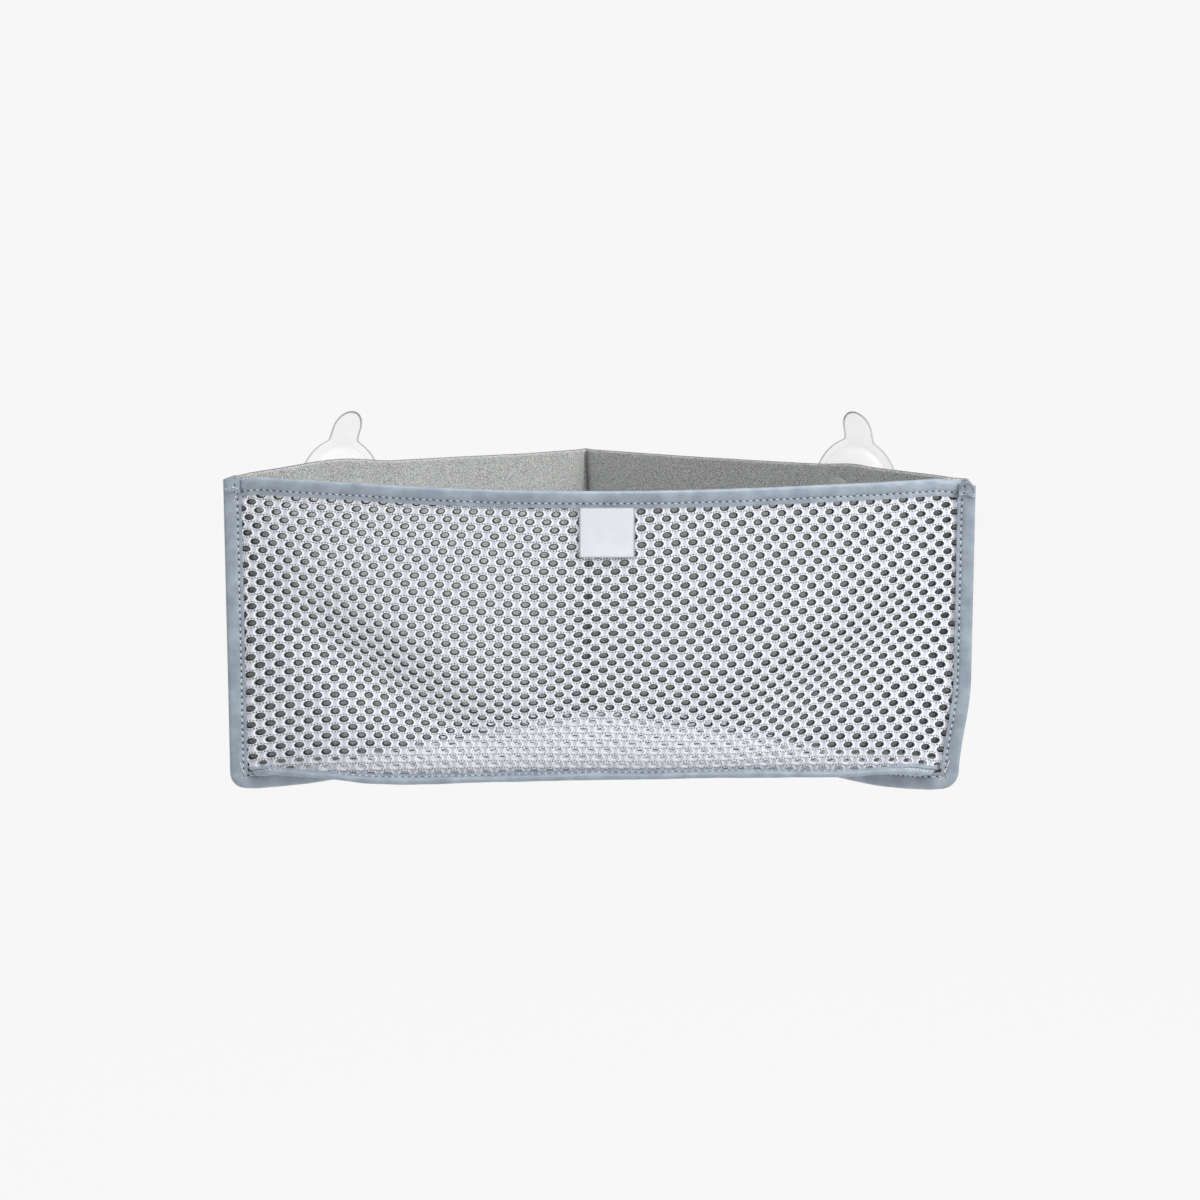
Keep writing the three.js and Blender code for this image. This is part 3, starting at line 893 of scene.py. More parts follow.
@dataclass(frozen=True)
class ThreadFinish:
    """Pale grey sewing thread, twisted: slanted lines across its length."""

    light: Colour = (0.76, 0.79, 0.82)
    dark: Colour = (0.47, 0.51, 0.55)
    twist_pitch: float = 0.5
    twist_slant: float = 0.3
    twist_share: float = 0.6
    twist_height: float = 0.06

    def material(self) -> bpy.types.Material:
        """The Blender material.

        Returns:
            The material.
        """
        graph = Graph.named("pale sewing thread")
        along, around = graph.surface()
        twist = (along + around * self.twist_slant).wave(self.twist_pitch)
        graph.bump(twist, self.twist_height)
        share = twist * self.twist_share + (1.0 - self.twist_share)
        colour = graph.mix(self.dark, self.light, share)
        return graph.finish({"Base Color": colour, "Roughness": 0.55, "Sheen Weight": 0.2})


@dataclass(frozen=True)
class LabelFinish:
    """Pale grey woven label cloth: a plain weave of two crossed sets of threads.

    The surface coordinates are millimetres from the upper left corner. A fine darker
    line borders the cloth.
    """

    light: Colour = (0.73, 0.75, 0.785)
    dark: Colour = (0.62, 0.64, 0.68)
    border: Colour = (0.22, 0.24, 0.28)
    border_span: Pair = (0.3, 0.8)
    border_share: float = 0.8
    thread_pitch: float = 0.34
    thread_height: float = 0.03
    weave_share: float = 0.35
    cloud: float = 0.25

    def material(self) -> bpy.types.Material:
        """The Blender material.

        Returns:
            The material.
        """
        graph = Graph.named("pale label cloth")
        across, down = graph.surface()
        turn = FULL_TURN / self.thread_pitch
        weave = (across * turn).sine() * (down * turn).sine() * 0.5 + 0.5
        cloud = graph.noise(self.cloud, vector=graph.plane(across, down))
        width, height = LABEL_SIZE
        inwards = across.lowest(width - across).lowest(down.lowest(height - down))
        line = inwards.near(*self.border_span)
        share = weave * self.weave_share + cloud * (1.0 - self.weave_share)
        cloth = graph.mix(self.dark, self.light, share)
        graph.bump(weave, self.thread_height)
        colour = graph.mix(cloth, self.border, line * self.border_share)
        return graph.finish({"Base Color": colour, "Roughness": 0.5, "Sheen Weight": 0.3})


@dataclass(frozen=True)
class ClearVinylFinish:
    """Clear soft vinyl, a little milky.

    Its faces let nearly all through. The thick rim, which the mesh marks with solid, and
    what is seen at a slant stand out in grey; on the rim this grey is painted shade, for
    the dark that refraction shows in thick clear vinyl.
    what is seen at a slant stand out in grey.
    """

    colour: Colour = (0.80, 0.81, 0.82)
    # Painted shade on the thick rim, for the dark that refraction shows there.
    painted_rim_shade: Colour = (0.16, 0.165, 0.18)
    face_alpha: float = 0.085
    slant_alpha: float = 0.14
    rim_alpha: float = 0.85
    slant_blend: float = 0.35
    haze: float = 60.0
    haze_alpha: float = 0.08
    haze_height: float = 0.2

    def material(self) -> bpy.types.Material:
        """The Blender material.

        Returns:
            The material.
        """
        graph = Graph.named("clear soft vinyl")
        solid = graph.mark("solid")
        slant = {"Blend": self.slant_blend}
        facing = graph.signal("ShaderNodeLayerWeight", {}, slant, "Facing")
        haze = graph.noise(self.haze)
        alpha = facing * facing * self.slant_alpha + solid * self.rim_alpha + self.face_alpha
        graph.bump(haze, self.haze_height)
        return graph.finish(
            {
                "Base Color": graph.mix(self.colour, self.painted_rim_shade, solid),
                "Roughness": 0.12,
                "Alpha": (alpha + (haze - 0.5) * self.haze_alpha).lowest(1.0),
                "IOR": 1.5,
            }
        )


@dataclass(frozen=True)
class FloorFinish:
    """Plain pale ground that the camera sees at one level, with a trace of shadow.

    To the camera, and in gloss and clear parts, most of it is its own even light. Other
    rays meet a plain pale surface.
    """

    colour: Colour = (0.935, 0.935, 0.935)
    glow_share: float = 0.97

    def material(self) -> bpy.types.Material:
        """The Blender material.

        Returns:
            The material.
        """
        graph = Graph.named("plain pale ground")
        seen = graph.seen_by("Is Camera Ray", "Is Glossy Ray", "Is Transmission Ray")
        glow = graph.add("ShaderNodeEmission", {}, {"Color": self.colour, "Strength": 1.0})
        graph.finish({"Base Color": self.colour, "Roughness": 0.9, "Specular IOR Level": 0.1})
        graph.part_shaders(seen * self.glow_share, graph.nodes["Principled BSDF"], glow)
        return graph.owner


# ---------------------------------------------------------------- shape of the basket


@dataclass(frozen=True)
class BasketForm:
    """Shape of the hung basket, which every cloth piece takes its places from.

    The front is a net with a round belly and two slanted valleys. Its lower edge is a
    seam that stands out forwards as a flange. The back panels follow the side edges of
    the front, turn an eighth of a circle, and run along the walls to the corner seam.
    """

    front_width: float = 359.0
    top: float = 10.8
    top_sag: float = 4.0
    top_bulge: float = 22.0
    seam_bulge: float = 13.0
    belly: float = 8.0
    belly_rise: float = 25.0
    net_height: float = 136.0
    probe: Pair = (0.4, 0.002)
    fold_depth: float = 9.0
    fold_width: float = 16.0
    fold_foot: float = 37.0
    fold_base: float = 7.0
    fold_angle: float = 38.0
    fold_reach: float = 0.85
    mouth: float = 9.6
    bend_radius: float = 6.0
    inner_face: float = 1.0
    outer_face: float = 3.5
    seam_gap: float = 0.02
    flange: float = 7.6
    flange_thickness: float = 2.2
    flange_seam_share: float = 0.4
    flange_fold_share: float = 0.45
    flange_least_drop: float = 0.2
    flange_end: Pair = (158.0, 13.0)
    flange_loss: float = 2.4
    flange_cut: float = 4.6
    flange_press: float = 0.35
    corner_radius: float = 7.5
    lean_most: float = 5.0
    lean_down: Pair = (-86.0, 48.0)
    lean_across: Pair = (110.0, 60.0)
    seam_shift: float = -5.5
    seam_shift_from: float = -95.0
    seam_line: Line = Line(
        (
            (-176.0, -128.4), (-160.0, -128.1), (-152.0, -128.6), (-139.6, -128.9),
            (-129.3, -129.3), (-114.2, -129.9), (-95.7, -129.9), (-71.6, -129.3),
            (-47.5, -128.5), (-23.4, -128.0), (0.7, -127.5), (24.8, -127.2),
            (48.8, -127.1), (77.8, -127.5), (102.0, -128.0), (121.5, -128.4),
            (138.8, -127.9), (148.7, -127.2), (157.2, -127.1), (163.0, -127.4),
            (168.0, -128.2), (176.0, -128.4),
        ),
        samples=200,
    )
    fold_line: Line = Line(
        (
            (-176.0, -134.6), (-171.3, -134.3), (-166.5, -133.6), (-163.0, -132.4),
            (-159.2, -131.1), (-155.3, -130.0), (-151.9, -129.6), (-148.0, -130.1),
            (-144.7, -130.8), (-138.9, -131.2), (-128.7, -131.6), (-113.6, -133.3),
            (-95.3, -134.0), (-71.3, -133.2), (-47.3, -132.5), (-23.3, -131.8),
            (0.6, -131.2), (24.6, -131.4), (48.6, -130.5), (77.4, -130.1), (101.5, -130.5),
            (120.9, -130.6), (138.0, -129.5), (147.9, -130.4), (156.4, -131.4),
            (161.8, -132.6), (167.2, -133.5), (176.0, -134.2),
        ),
        samples=200,
    )
    top_rise: Line = Line(
        (
            (-176.0, 2.1), (-116.0, 2.1), (-67.0, 1.3), (-45.0, 1.0), (0.0, 1.0),
            (20.0, 0.95), (61.0, 1.2), (107.0, 1.5), (136.0, 1.35), (176.0, 1.3),
        )
    )
    panel_top: SidedLine = SidedLine(
        left=Line((
            (0.0, 11.2), (10.0, 14.0), (30.0, 15.2), (49.6, 16.8), (61.6, 17.5),
            (75.6, 17.4), (87.6, 16.2), (98.6, 14.8), (120.6, 14.4), (161.6, 13.5),
            (204.6, 12.4), (231.6, 12.2), (248.6, 12.2),
        )),
        right=Line((
            (0.0, 11.0), (16.6, 12.4), (40.6, 13.3), (61.6, 13.9), (70.6, 15.2),
            (90.6, 13.6), (130.6, 12.8), (172.6, 12.3), (215.6, 12.1), (248.6, 12.1),
        )),
    )
    panel_low: SidedLine = SidedLine(
        left=Line((
            (0.0, -139.4), (10.0, -139.8), (25.0, -141.3), (45.0, -142.9),
            (60.0, -143.4), (90.0, -143.2), (248.6, -142.8),
        )),
        right=Line((
            (0.0, -138.8), (10.0, -139.4), (25.0, -141.5), (45.0, -143.4),
            (60.0, -143.8), (90.0, -143.4), (248.6, -142.8),
        )),
    )
    floor_edge: SidedLine = SidedLine(
        left=Line((
            (0.0, -132.1), (6.0, -132.1), (52.0, -128.4), (96.0, -128.7), (124.0, -132.4),
            (144.0, -135.0), (250.0, -133.0),
        )),
        right=Line((
            (0.0, -132.4), (2.0, -132.4), (40.0, -128.0), (78.0, -126.2), (120.0, -128.1),
            (154.0, -132.1), (180.0, -134.0), (250.0, -133.0),
        )),
    )

    @property
    def half_front(self) -> float:
        """Half of the front's width."""
        return self.front_width / 2

    @property
    def bend_x(self) -> float:
        """Where the back panels begin to turn away from the front."""
        return self.half_front - self.mouth

    @property
    def front_y(self) -> float:
        """The front's plane at its sides: the bend's radius and the panels set it back."""
        turned = (self.bend_radius - self.outer_face) * math.sqrt(2.0)
        return -(self.bend_x + self.bend_radius - turned)

    @property
    def leg_start(self) -> float:
        """Reach at which the panels' bend ends."""
        return self.mouth + self.bend_radius * math.pi / 4

    @property
    def wrap_length(self) -> float:
        """Reach from a side edge to the corner seam."""
        return self.leg_start + self.bend_x * math.sqrt(2.0) - self.bend_radius

    def across(self, x: Array) -> Array:
        """Share of the way from the middle to a side, from -1 to 1."""
        return np.clip(x / self.bend_x, -1.0, 1.0)

    def net_top(self, x: Array) -> Array:
        """Height of the front's top edge: a shallow parabola."""
        return self.top - self.top_sag * (1.0 - self.across(x) ** 2)

    def net_foot(self, x: Array) -> Array:
        """Height of the net's middle at the lower seam, a little under its outside."""
        return self.seam_line(x) - self.flange_seam_share * self.flange_thickness

    def surface(self, x: Array, share: Array) -> Array:
        """Middle of the front net.

        The height is a straight mix of seam and top edge. The distance forwards is a
        straight mix of the seam's and the top's bulge, plus a belly that rises as one
        less an exponential and fades towards the top and the sides, less the valleys.

        Args:
            x: Distance across.
            share: Share of the height, from 0 at the seam to 1 at the top.

        Returns:
            Places.
        """
        u = self.across(x)
        rise = 1.0 - np.exp(-np.maximum(share, 0.0) * self.net_height / self.belly_rise)
        forwards = blend(self.seam_bulge * (1.0 - u**4), self.top_bulge * (1.0 - u**2), share)
        forwards = forwards + self.belly * (1.0 - u**4) * rise * (1.0 - share)
        z = blend(self.net_foot(x), self.net_top(x), share)
        return self._leaning(x, self.front_y - forwards + self._valley(x, share), z)

    def _leaning(self, x: Array, y: Array, z: Array) -> Array:
        """Places, with the lower right corner drawn inwards: a smooth step both ways.

        Args:
            x: Distance across.
            y: Distance into the corner.
            z: Height.

        Returns:
            The places.
        """
        (start, height), (beside, width) = self.lean_down, self.lean_across
        drawn = self.lean_most * smooth((x - beside) / width) * smooth((start - z) / height)
        return np.stack([x - drawn, y, z], axis=-1)

    def _valley(self, x: Array, share: Array) -> Array:
        """Depth of the two slanted valleys: a bell-shaped section along a slanted line.

        Args:
            x: Distance across.
            share: Share of the height.

        Returns:
            The depths.
        """
        slope = math.radians(self.fold_angle)
        height = self.fold_base + share * self.net_height
        away = (np.abs(x) - self.fold_foot) * math.sin(slope) - height * math.cos(slope)
        fade = np.sin(math.pi * np.clip(share / self.fold_reach, 0.0, 1.0)) ** 2
        fade = fade * (1.0 - self.across(x) ** 2)
        return self.fold_depth * fade * np.exp(-((away / self.fold_width) ** 2))

    def front(self, x: Array, share: Array, depth: Array) -> Array:
        """A place at a depth behind the front net, square to it.

        Args:
            x: Distance across.
            share: Share of the height.
            depth: Distance behind the net's middle.

        Returns:
            Places.
        """
        x, share, depth = np.broadcast_arrays(x, share, depth)
        beside, above = self.probe
        sideways = self.surface(x + beside, share) - self.surface(x - beside, share)
        upwards = self.surface(x, share + above) - self.surface(x, share - above)
        normal = np.cross(sideways, upwards)
        normal /= np.linalg.norm(normal, axis=-1, keepdims=True)
        return self.surface(x, share) - normal * depth[..., None]

    def from_top(self, x: Array, inset: Array, depth: Array) -> Array:
        """A place at an inset below the top tape's fold, which rises above the net's edge."""
        below = inset - self.top_rise(x)
        return self.front(x, 1.0 - below / (self.net_top(x) - self.net_foot(x)), depth)

    def flange_place(self, x: Array, inset: Array, depth: Array) -> Array:
        """A place on the flange of the lower seam, which stands out forwards and down.

        A straight line joins the seam to the fold in front of it: the fold's height is
        measured, and its distance forwards is the third side of a right-angled triangle
        with the flange's length. Towards its ends the flange is shorter and flatter, and
        its ends are cut at a slant.

        Args:
            x: Distance across.
            inset: Distance from the fold towards the seam.
            depth: Distance below the flange's middle.

        Returns:
            Places.
        """
        x, inset, depth = np.broadcast_arrays(x, inset, depth)
        start, width = self.flange_end
        to_end = smooth((np.abs(x) - start) / width)
        x = x - np.sign(x) * self.flange_cut * (1.0 - inset / self.flange) * to_end
        depth = depth * (1.0 - self.flange_press * to_end)
        seam = self.surface(x, np.zeros_like(x))
        fold_z = self.fold_line(x) + self.flange_fold_share * self.flange_thickness
        length = self.flange - self.flange_loss * to_end
        least = self.flange_least_drop
        drop = np.clip(seam[..., 2] - fold_z, least, length - least)
        sine, cosine = np.sqrt(length**2 - drop**2) / length, drop / length
        reach = length - inset * length / self.flange
        y = seam[..., 1] - reach * sine + depth * cosine
        z = seam[..., 2] - reach * cosine - depth * sine
        return self._leaning(x, y, z)

    def wrap(self, side: Side, reach: Array, z: Array, depth: Array) -> Array:
        """A place on a back panel's line: straight, an eighth turn, then along the wall.

        Args:
            side: Which back panel.
            reach: Distance along the line from the outside of the side tape.
            z: Height.
            depth: Distance behind the line.

        Returns:
            Places. What would pass the corner seam ends at it.
        """
        reach, z, depth = np.broadcast_arrays(reach, z, depth)
        angle = np.clip((reach - self.mouth) / self.bend_radius, 0.0, math.pi / 4)
        along = np.maximum(reach - self.leg_start, 0.0) * DIAGONAL
        radius = self.bend_radius - depth
        x = self.half_front - np.minimum(reach, self.mouth) - radius * np.sin(angle) - along
        y = self.front_y + self.bend_radius - radius * np.cos(angle) + along
        past = np.maximum(self.seam_gap / 2 - x, 0.0)
        return self._leaning(side.value * (x + past) + self.shift_at(y - past), y - past, z)

    def shift_at(self, y: Array) -> Array:
        """How far the corner seam's end of the basket leans to one side, at each y."""
        return self.seam_shift * smooth(1.0 - y / self.seam_shift_from)

    def panel_foot(self, side: Side, reach: Array) -> Array:
        """Height of a back panel's foot with its rounded corner at the side.

        Args:
            side: Which back panel.
            reach: Distance along it from the side tape's outside.

        Returns:
            The heights.
        """
        short = np.clip(self.corner_radius - reach, 0.0, self.corner_radius)
        rise = self.corner_radius - np.sqrt(self.corner_radius**2 - short**2)
        return self.panel_low(side, np.maximum(reach, self.corner_radius)) + rise

    def floor_line(self, x: Array) -> Array:
        """Height at which the floor meets the wall behind x."""
        left, right = (self.floor_edge(side, np.abs(x) * math.sqrt(2.0)) for side in Side)
        return np.where(x < 0.0, left, right)


# ---------------------------------------------------------------- net


def staggered(columns: range, rows: range) -> tuple[Array, Array]:
    """Columns and rows of the holes in a range, which are those with an even sum.

    Args:
        columns: The range's columns.
        rows: Its rows.

    Returns:
        Column and row of each hole.
    """
    both = np.stack(np.meshgrid(columns, rows, indexing="ij")).reshape(2, -1)
    column, row = both[:, both.sum(axis=0) % 2 == 0].astype(float)
    return column, row


@dataclass(frozen=True)
class NetWeave:
    """Staggered oval holes, each in a brick of net one pitch wide and one row high.

    A hole's column counts half pitches and its row counts rows. Places on the lattice are
    given to a map that turns column, row and depth into millimetres. Widths and heights of
    crest and back count the hole's own as 1.
    """

    hole_height: float = HOLE_HEIGHT
    hole_turn: float = 5.0
    back: Pair = (0.74, 0.68)
    back_margin: float = 1.15
    crest: Pair = (1.24, 1.2)
    crest_rise: float = 0.22
    lip: float = 0.28
    thickness: float = 1.4
    far: float = 3.0

    @property
    def brick(self) -> Array:
        """Corners of a brick, in columns and rows from its hole's middle.

        Returns:
            Twelve rows of two numbers.
        """
        across = (1.0, 1.0, 0.5, 0.0, -0.5, -1.0, -1.0, -1.0, -0.5, 0.0, 0.5, 1.0)
        up = (0.0, 0.5, 0.5, 0.5, 0.5, 0.5, 0.0, -0.5, -0.5, -0.5, -0.5, -0.5)
        return np.stack([across, up], axis=-1)

    def shell(self, columns: Array, rows: Array, place: Place) -> Shell:
        """Builds the net's body round its holes.

        Each brick has five rings of twelve points: its front edge, which it shares with
        its neighbours, a raised crest round the hole, the hole's front edge, its back edge
        and the brick's back edge.

        Args:
            columns: Column of each hole.
            rows: Row of each hole.
            place: Map from column, row and depth to places.

        Returns:
            The closed shell.
        """
        brick = self.brick
        count, corners = len(columns), len(brick)
        centre = np.stack([columns, rows], axis=-1)[:, None, :]
        keys = np.rint((centre + brick) * 2).astype(int).reshape(-1, 2)
        shared, inverse = np.unique(keys, axis=0, return_inverse=True)
        inverse = inverse.reshape(count, corners)
        turn = np.arange(corners) * (FULL_TURN / corners)
        half = self.thickness / 2
        rings = [
            (shared / 2, -half),
            (centre + self._oval(turn, self.crest), -half - self.crest_rise),
            (centre + self._oval(turn, (1.0, 1.0)), -half + self.lip),
            (centre + self._oval(turn, self.back), half - self.lip / 2),
            (shared / 2, half),
        ]
        points, numbers, start = [], [], 0
        for where, depth in rings:
            column, row = where.reshape(-1, 2).T
            points.append(place(column, row, np.full(column.size, depth)))
            own = np.arange(count * corners).reshape(count, corners)
            numbers.append(start + (inverse if where.ndim == 2 else own))
            start += column.size
        level = np.stack([np.cos(turn), np.sin(turn)], axis=-1)
        level = level * (HOLE_WIDTH / HOLE_PITCH, self.hole_height / 2 / ROW_SPACING)
        crest = level * self.crest
        offsets = [
            (brick, crest), (crest, level), (level, level * self.back),
            (level * self.back_margin, brick),
        ]
        faces, coords = self._bands(numbers, offsets, count)
        faces.append(self._rim(inverse, numbers[-1]))
        coords.append(np.full((len(faces[-1]), 4, 2), self.far))
        return Shell(np.concatenate(points), faces, coords)

    def _oval(self, turn: Array, size: Pair) -> Array:
        """A turned oval round a hole's middle.

        Args:
            turn: Angles of its points.
            size: Its width and height, where the hole's are 1.

        Returns:
            Offsets in columns and rows.
        """
        tilt = math.radians(self.hole_turn)
        x = np.cos(turn) * HOLE_WIDTH / 2 * size[0]
        y = np.sin(turn) * self.hole_height / 2 * size[1]
        across = x * math.cos(tilt) + y * math.sin(tilt)
        down = y * math.cos(tilt) - x * math.sin(tilt)
        return np.stack([across / (HOLE_PITCH / 2), down / ROW_SPACING], axis=-1)

    @staticmethod
    def _bands(
        numbers: list[Array], offsets: list[tuple[Array, Array]], count: int
    ) -> tuple[list[Array], list[Array]]:
        """Faces between each ring and the next.

        Args:
            numbers: Point numbers of each ring, bricks by corners.
            offsets: Columns and rows from the hole's middle at both edges of each band.
            count: Number of bricks.

        Returns:
            Faces, and their surface coordinates in millimetres from the hole's middle.
        """
        scale = np.array([HOLE_PITCH / 2, ROW_SPACING])
        faces, coords = [], []
        for a, b, (near, away) in zip(numbers[:-1], numbers[1:], offsets):
            band = np.stack([a, np.roll(a, -1, axis=1), np.roll(b, -1, axis=1), b], axis=-1)
            faces.append(band.reshape(-1, 4))
            u, w = near * scale, away * scale
            pair = np.stack([u, np.roll(u, -1, axis=0), np.roll(w, -1, axis=0), w], axis=1)
            coords.append(np.tile(pair, (count, 1, 1)))
        return faces, coords

    @staticmethod
    def _rim(front: Array, back: Array) -> Array:
        """Walls along the net's outer edge, where a brick's edge has no neighbour.

        Args:
            front: Point numbers of the front edges, bricks by corners.
            back: Point numbers of the back edges.

        Returns:
            The walls' faces.
        """
        start, behind = (
            np.stack([ring, np.roll(ring, -1, axis=1)], axis=-1).reshape(-1, 2)
            for ring in (front, back)
        )
        size = start.max() + 1
        alone = ~np.isin(start[:, 0] * size + start[:, 1], start[:, 1] * size + start[:, 0])
        edge, far = start[alone], behind[alone]
        return np.stack([edge[:, 1], edge[:, 0], far[:, 0], far[:, 1]], axis=-1)


@dataclass(frozen=True)
class FrontNet:
    """The front's net, pulled out of its square lattice by the sewing.

    Evenly spaced tables give how far the lattice is pushed across and up, in millimetres,
    for thirteen places across and seven up.
    """

    form: BasketForm
    weave: NetWeave = NetWeave()
    columns: range = range(-34, 64)
    rows: range = range(-14, 30)
    column_step: Pair = (4.0328, 0.0339)
    row_step: Pair = (-0.1436, -3.792)
    first_hole: Pair = (-53.915, 96.04)
    table_half_width: float = 176.0
    edge: float = 178.2
    low_share: float = -0.008
    high_share: float = 0.985
    floor_view: float = 0.16
    lit_most: float = 0.9
    lit_fade: float = 5.0
    push_across: tuple[tuple[float, ...], ...] = (
        (-2.0, 1.3, 4.0, 4.5, 3.5, 2.1, 0.7, -0.7, -2.3, -3.8, -4.2, -3.4, -2.4),
        (-5.0, 1.2, 3.4, 2.1, 1.3, 1.2, 1.0, 0.4, -0.2, -1.5, -3.8, -3.2, -1.2),
        (-5.9, 0.4, 1.7, -0.2, -0.2, 0.7, 1.2, 1.2, 1.4, 1.3, -1.1, -2.4, -0.2),
        (-4.8, -1.0, -1.2, -1.6, -1.0, 0.3, 1.2, 1.9, 2.0, 2.0, 1.8, -0.1, -0.1),
        (-3.6, -2.4, -1.7, -1.4, -1.1, -0.4, 1.0, 2.0, 2.4, 2.1, 1.6, 1.1, -0.1),
        (-2.0, -0.3, 1.3, 1.0, 0.2, -0.3, 0.7, 0.9, 0.5, -0.8, -2.3, -2.4, -1.3),
        (0.4, 2.0, 3.5, 3.8, 2.8, 1.1, 0.2, -0.7, -1.6, -2.8, -3.9, -4.3, -3.7),
    )
    push_up: tuple[tuple[float, ...], ...] = (
        (-3.9, 0.9, 3.5, 4.3, 4.0, 3.0, 1.8, 1.2, 1.5, 2.5, 2.7, 0.8, -3.0),
        (-4.4, 0.9, 4.0, 2.1, 1.0, 1.2, 1.0, -0.5, -1.3, 0.3, 3.6, 2.1, -2.5),
        (-3.2, 2.0, 3.3, 0.0, -1.5, -1.3, 0.2, -1.4, -2.5, -1.5, 1.8, 2.9, -1.0),
        (-0.6, 2.0, 0.7, -0.6, -2.0, -2.8, -1.0, -2.0, -1.7, -0.7, 0.0, 1.7, 0.7),
        (1.3, 1.1, 0.5, 0.2, -0.8, -1.9, -2.2, -1.9, -0.9, 0.1, 0.6, 0.8, 1.3),
        (1.6, 0.8, 0.5, 0.5, 0.3, -0.8, -1.1, -0.2, 0.5, 1.0, 0.6, 0.7, 0.9),
        (0.8, -0.2, 0.0, -0.1, 0.1, -0.8, -0.4, 0.6, 1.1, 1.3, 0.7, 0.2, -0.6),
    )

    def _spread(self, columns: Array, rows: Array) -> tuple[Array, Array]:
        """Where a lattice place lies on the front.

        The even place is the first hole's plus columns and rows times their steps. The
        tables' values there, through smooth curves both ways, are added to it.

        Args:
            columns: Lattice columns.
            rows: Lattice rows.

        Returns:
            Distance across, and share of the height.
        """
        across, up = (
            first + columns * beside + rows * above
            for first, beside, above in zip(self.first_hole, self.column_step, self.row_step)
        )
        tables = np.array([self.push_across, self.push_up])
        share = (across + self.table_half_width) / (2 * self.table_half_width)
        sideways = knot_weights(share, tables.shape[2])
        upwards = knot_weights(up / self.form.net_height, tables.shape[1])
        push = np.einsum("tba,ka,kb->tk", tables, sideways, upwards)
        return across + push[0], (up + push[1]) / self.form.net_height

    def _place(self, columns: Array, rows: Array, depth: Array) -> Array:
        """A lattice place on the front, held inside the tapes at the net's edge.

        Args:
            columns: Lattice columns.
            rows: Lattice rows.
            depth: Depth behind the net's middle.

        Returns:
            The places.
        """
        x, share = self._spread(columns, rows)
        x = np.clip(x, -self.edge, self.edge)
        return self.form.front(x, np.clip(share, self.low_share, self.high_share), depth)

    def shell(self) -> Shell:
        """The net's closed shell, over every hole whose middle lies inside the edge.

        Returns:
            The shell. Its mark lit is high below a height that falls evenly from the middle
            to the sides, as far up as the pale floor shows through the holes.
        """
        columns, rows = staggered(self.columns, self.rows)
        x, share = self._spread(columns, rows)
        inside = (np.abs(x) < self.edge) & (share > self.low_share) & (share < self.high_share)
        shell = self.weave.shell(columns[inside], rows[inside], self._place)
        x, z = shell.points[:, 0], shell.points[:, 2]
        above = z - self.form.net_foot(x) - self.floor_view * (self.form.half_front - np.abs(x))
        shell.marks["lit"] = self.lit_most * (1.0 - smooth(above / self.lit_fade + 0.5))
        return shell


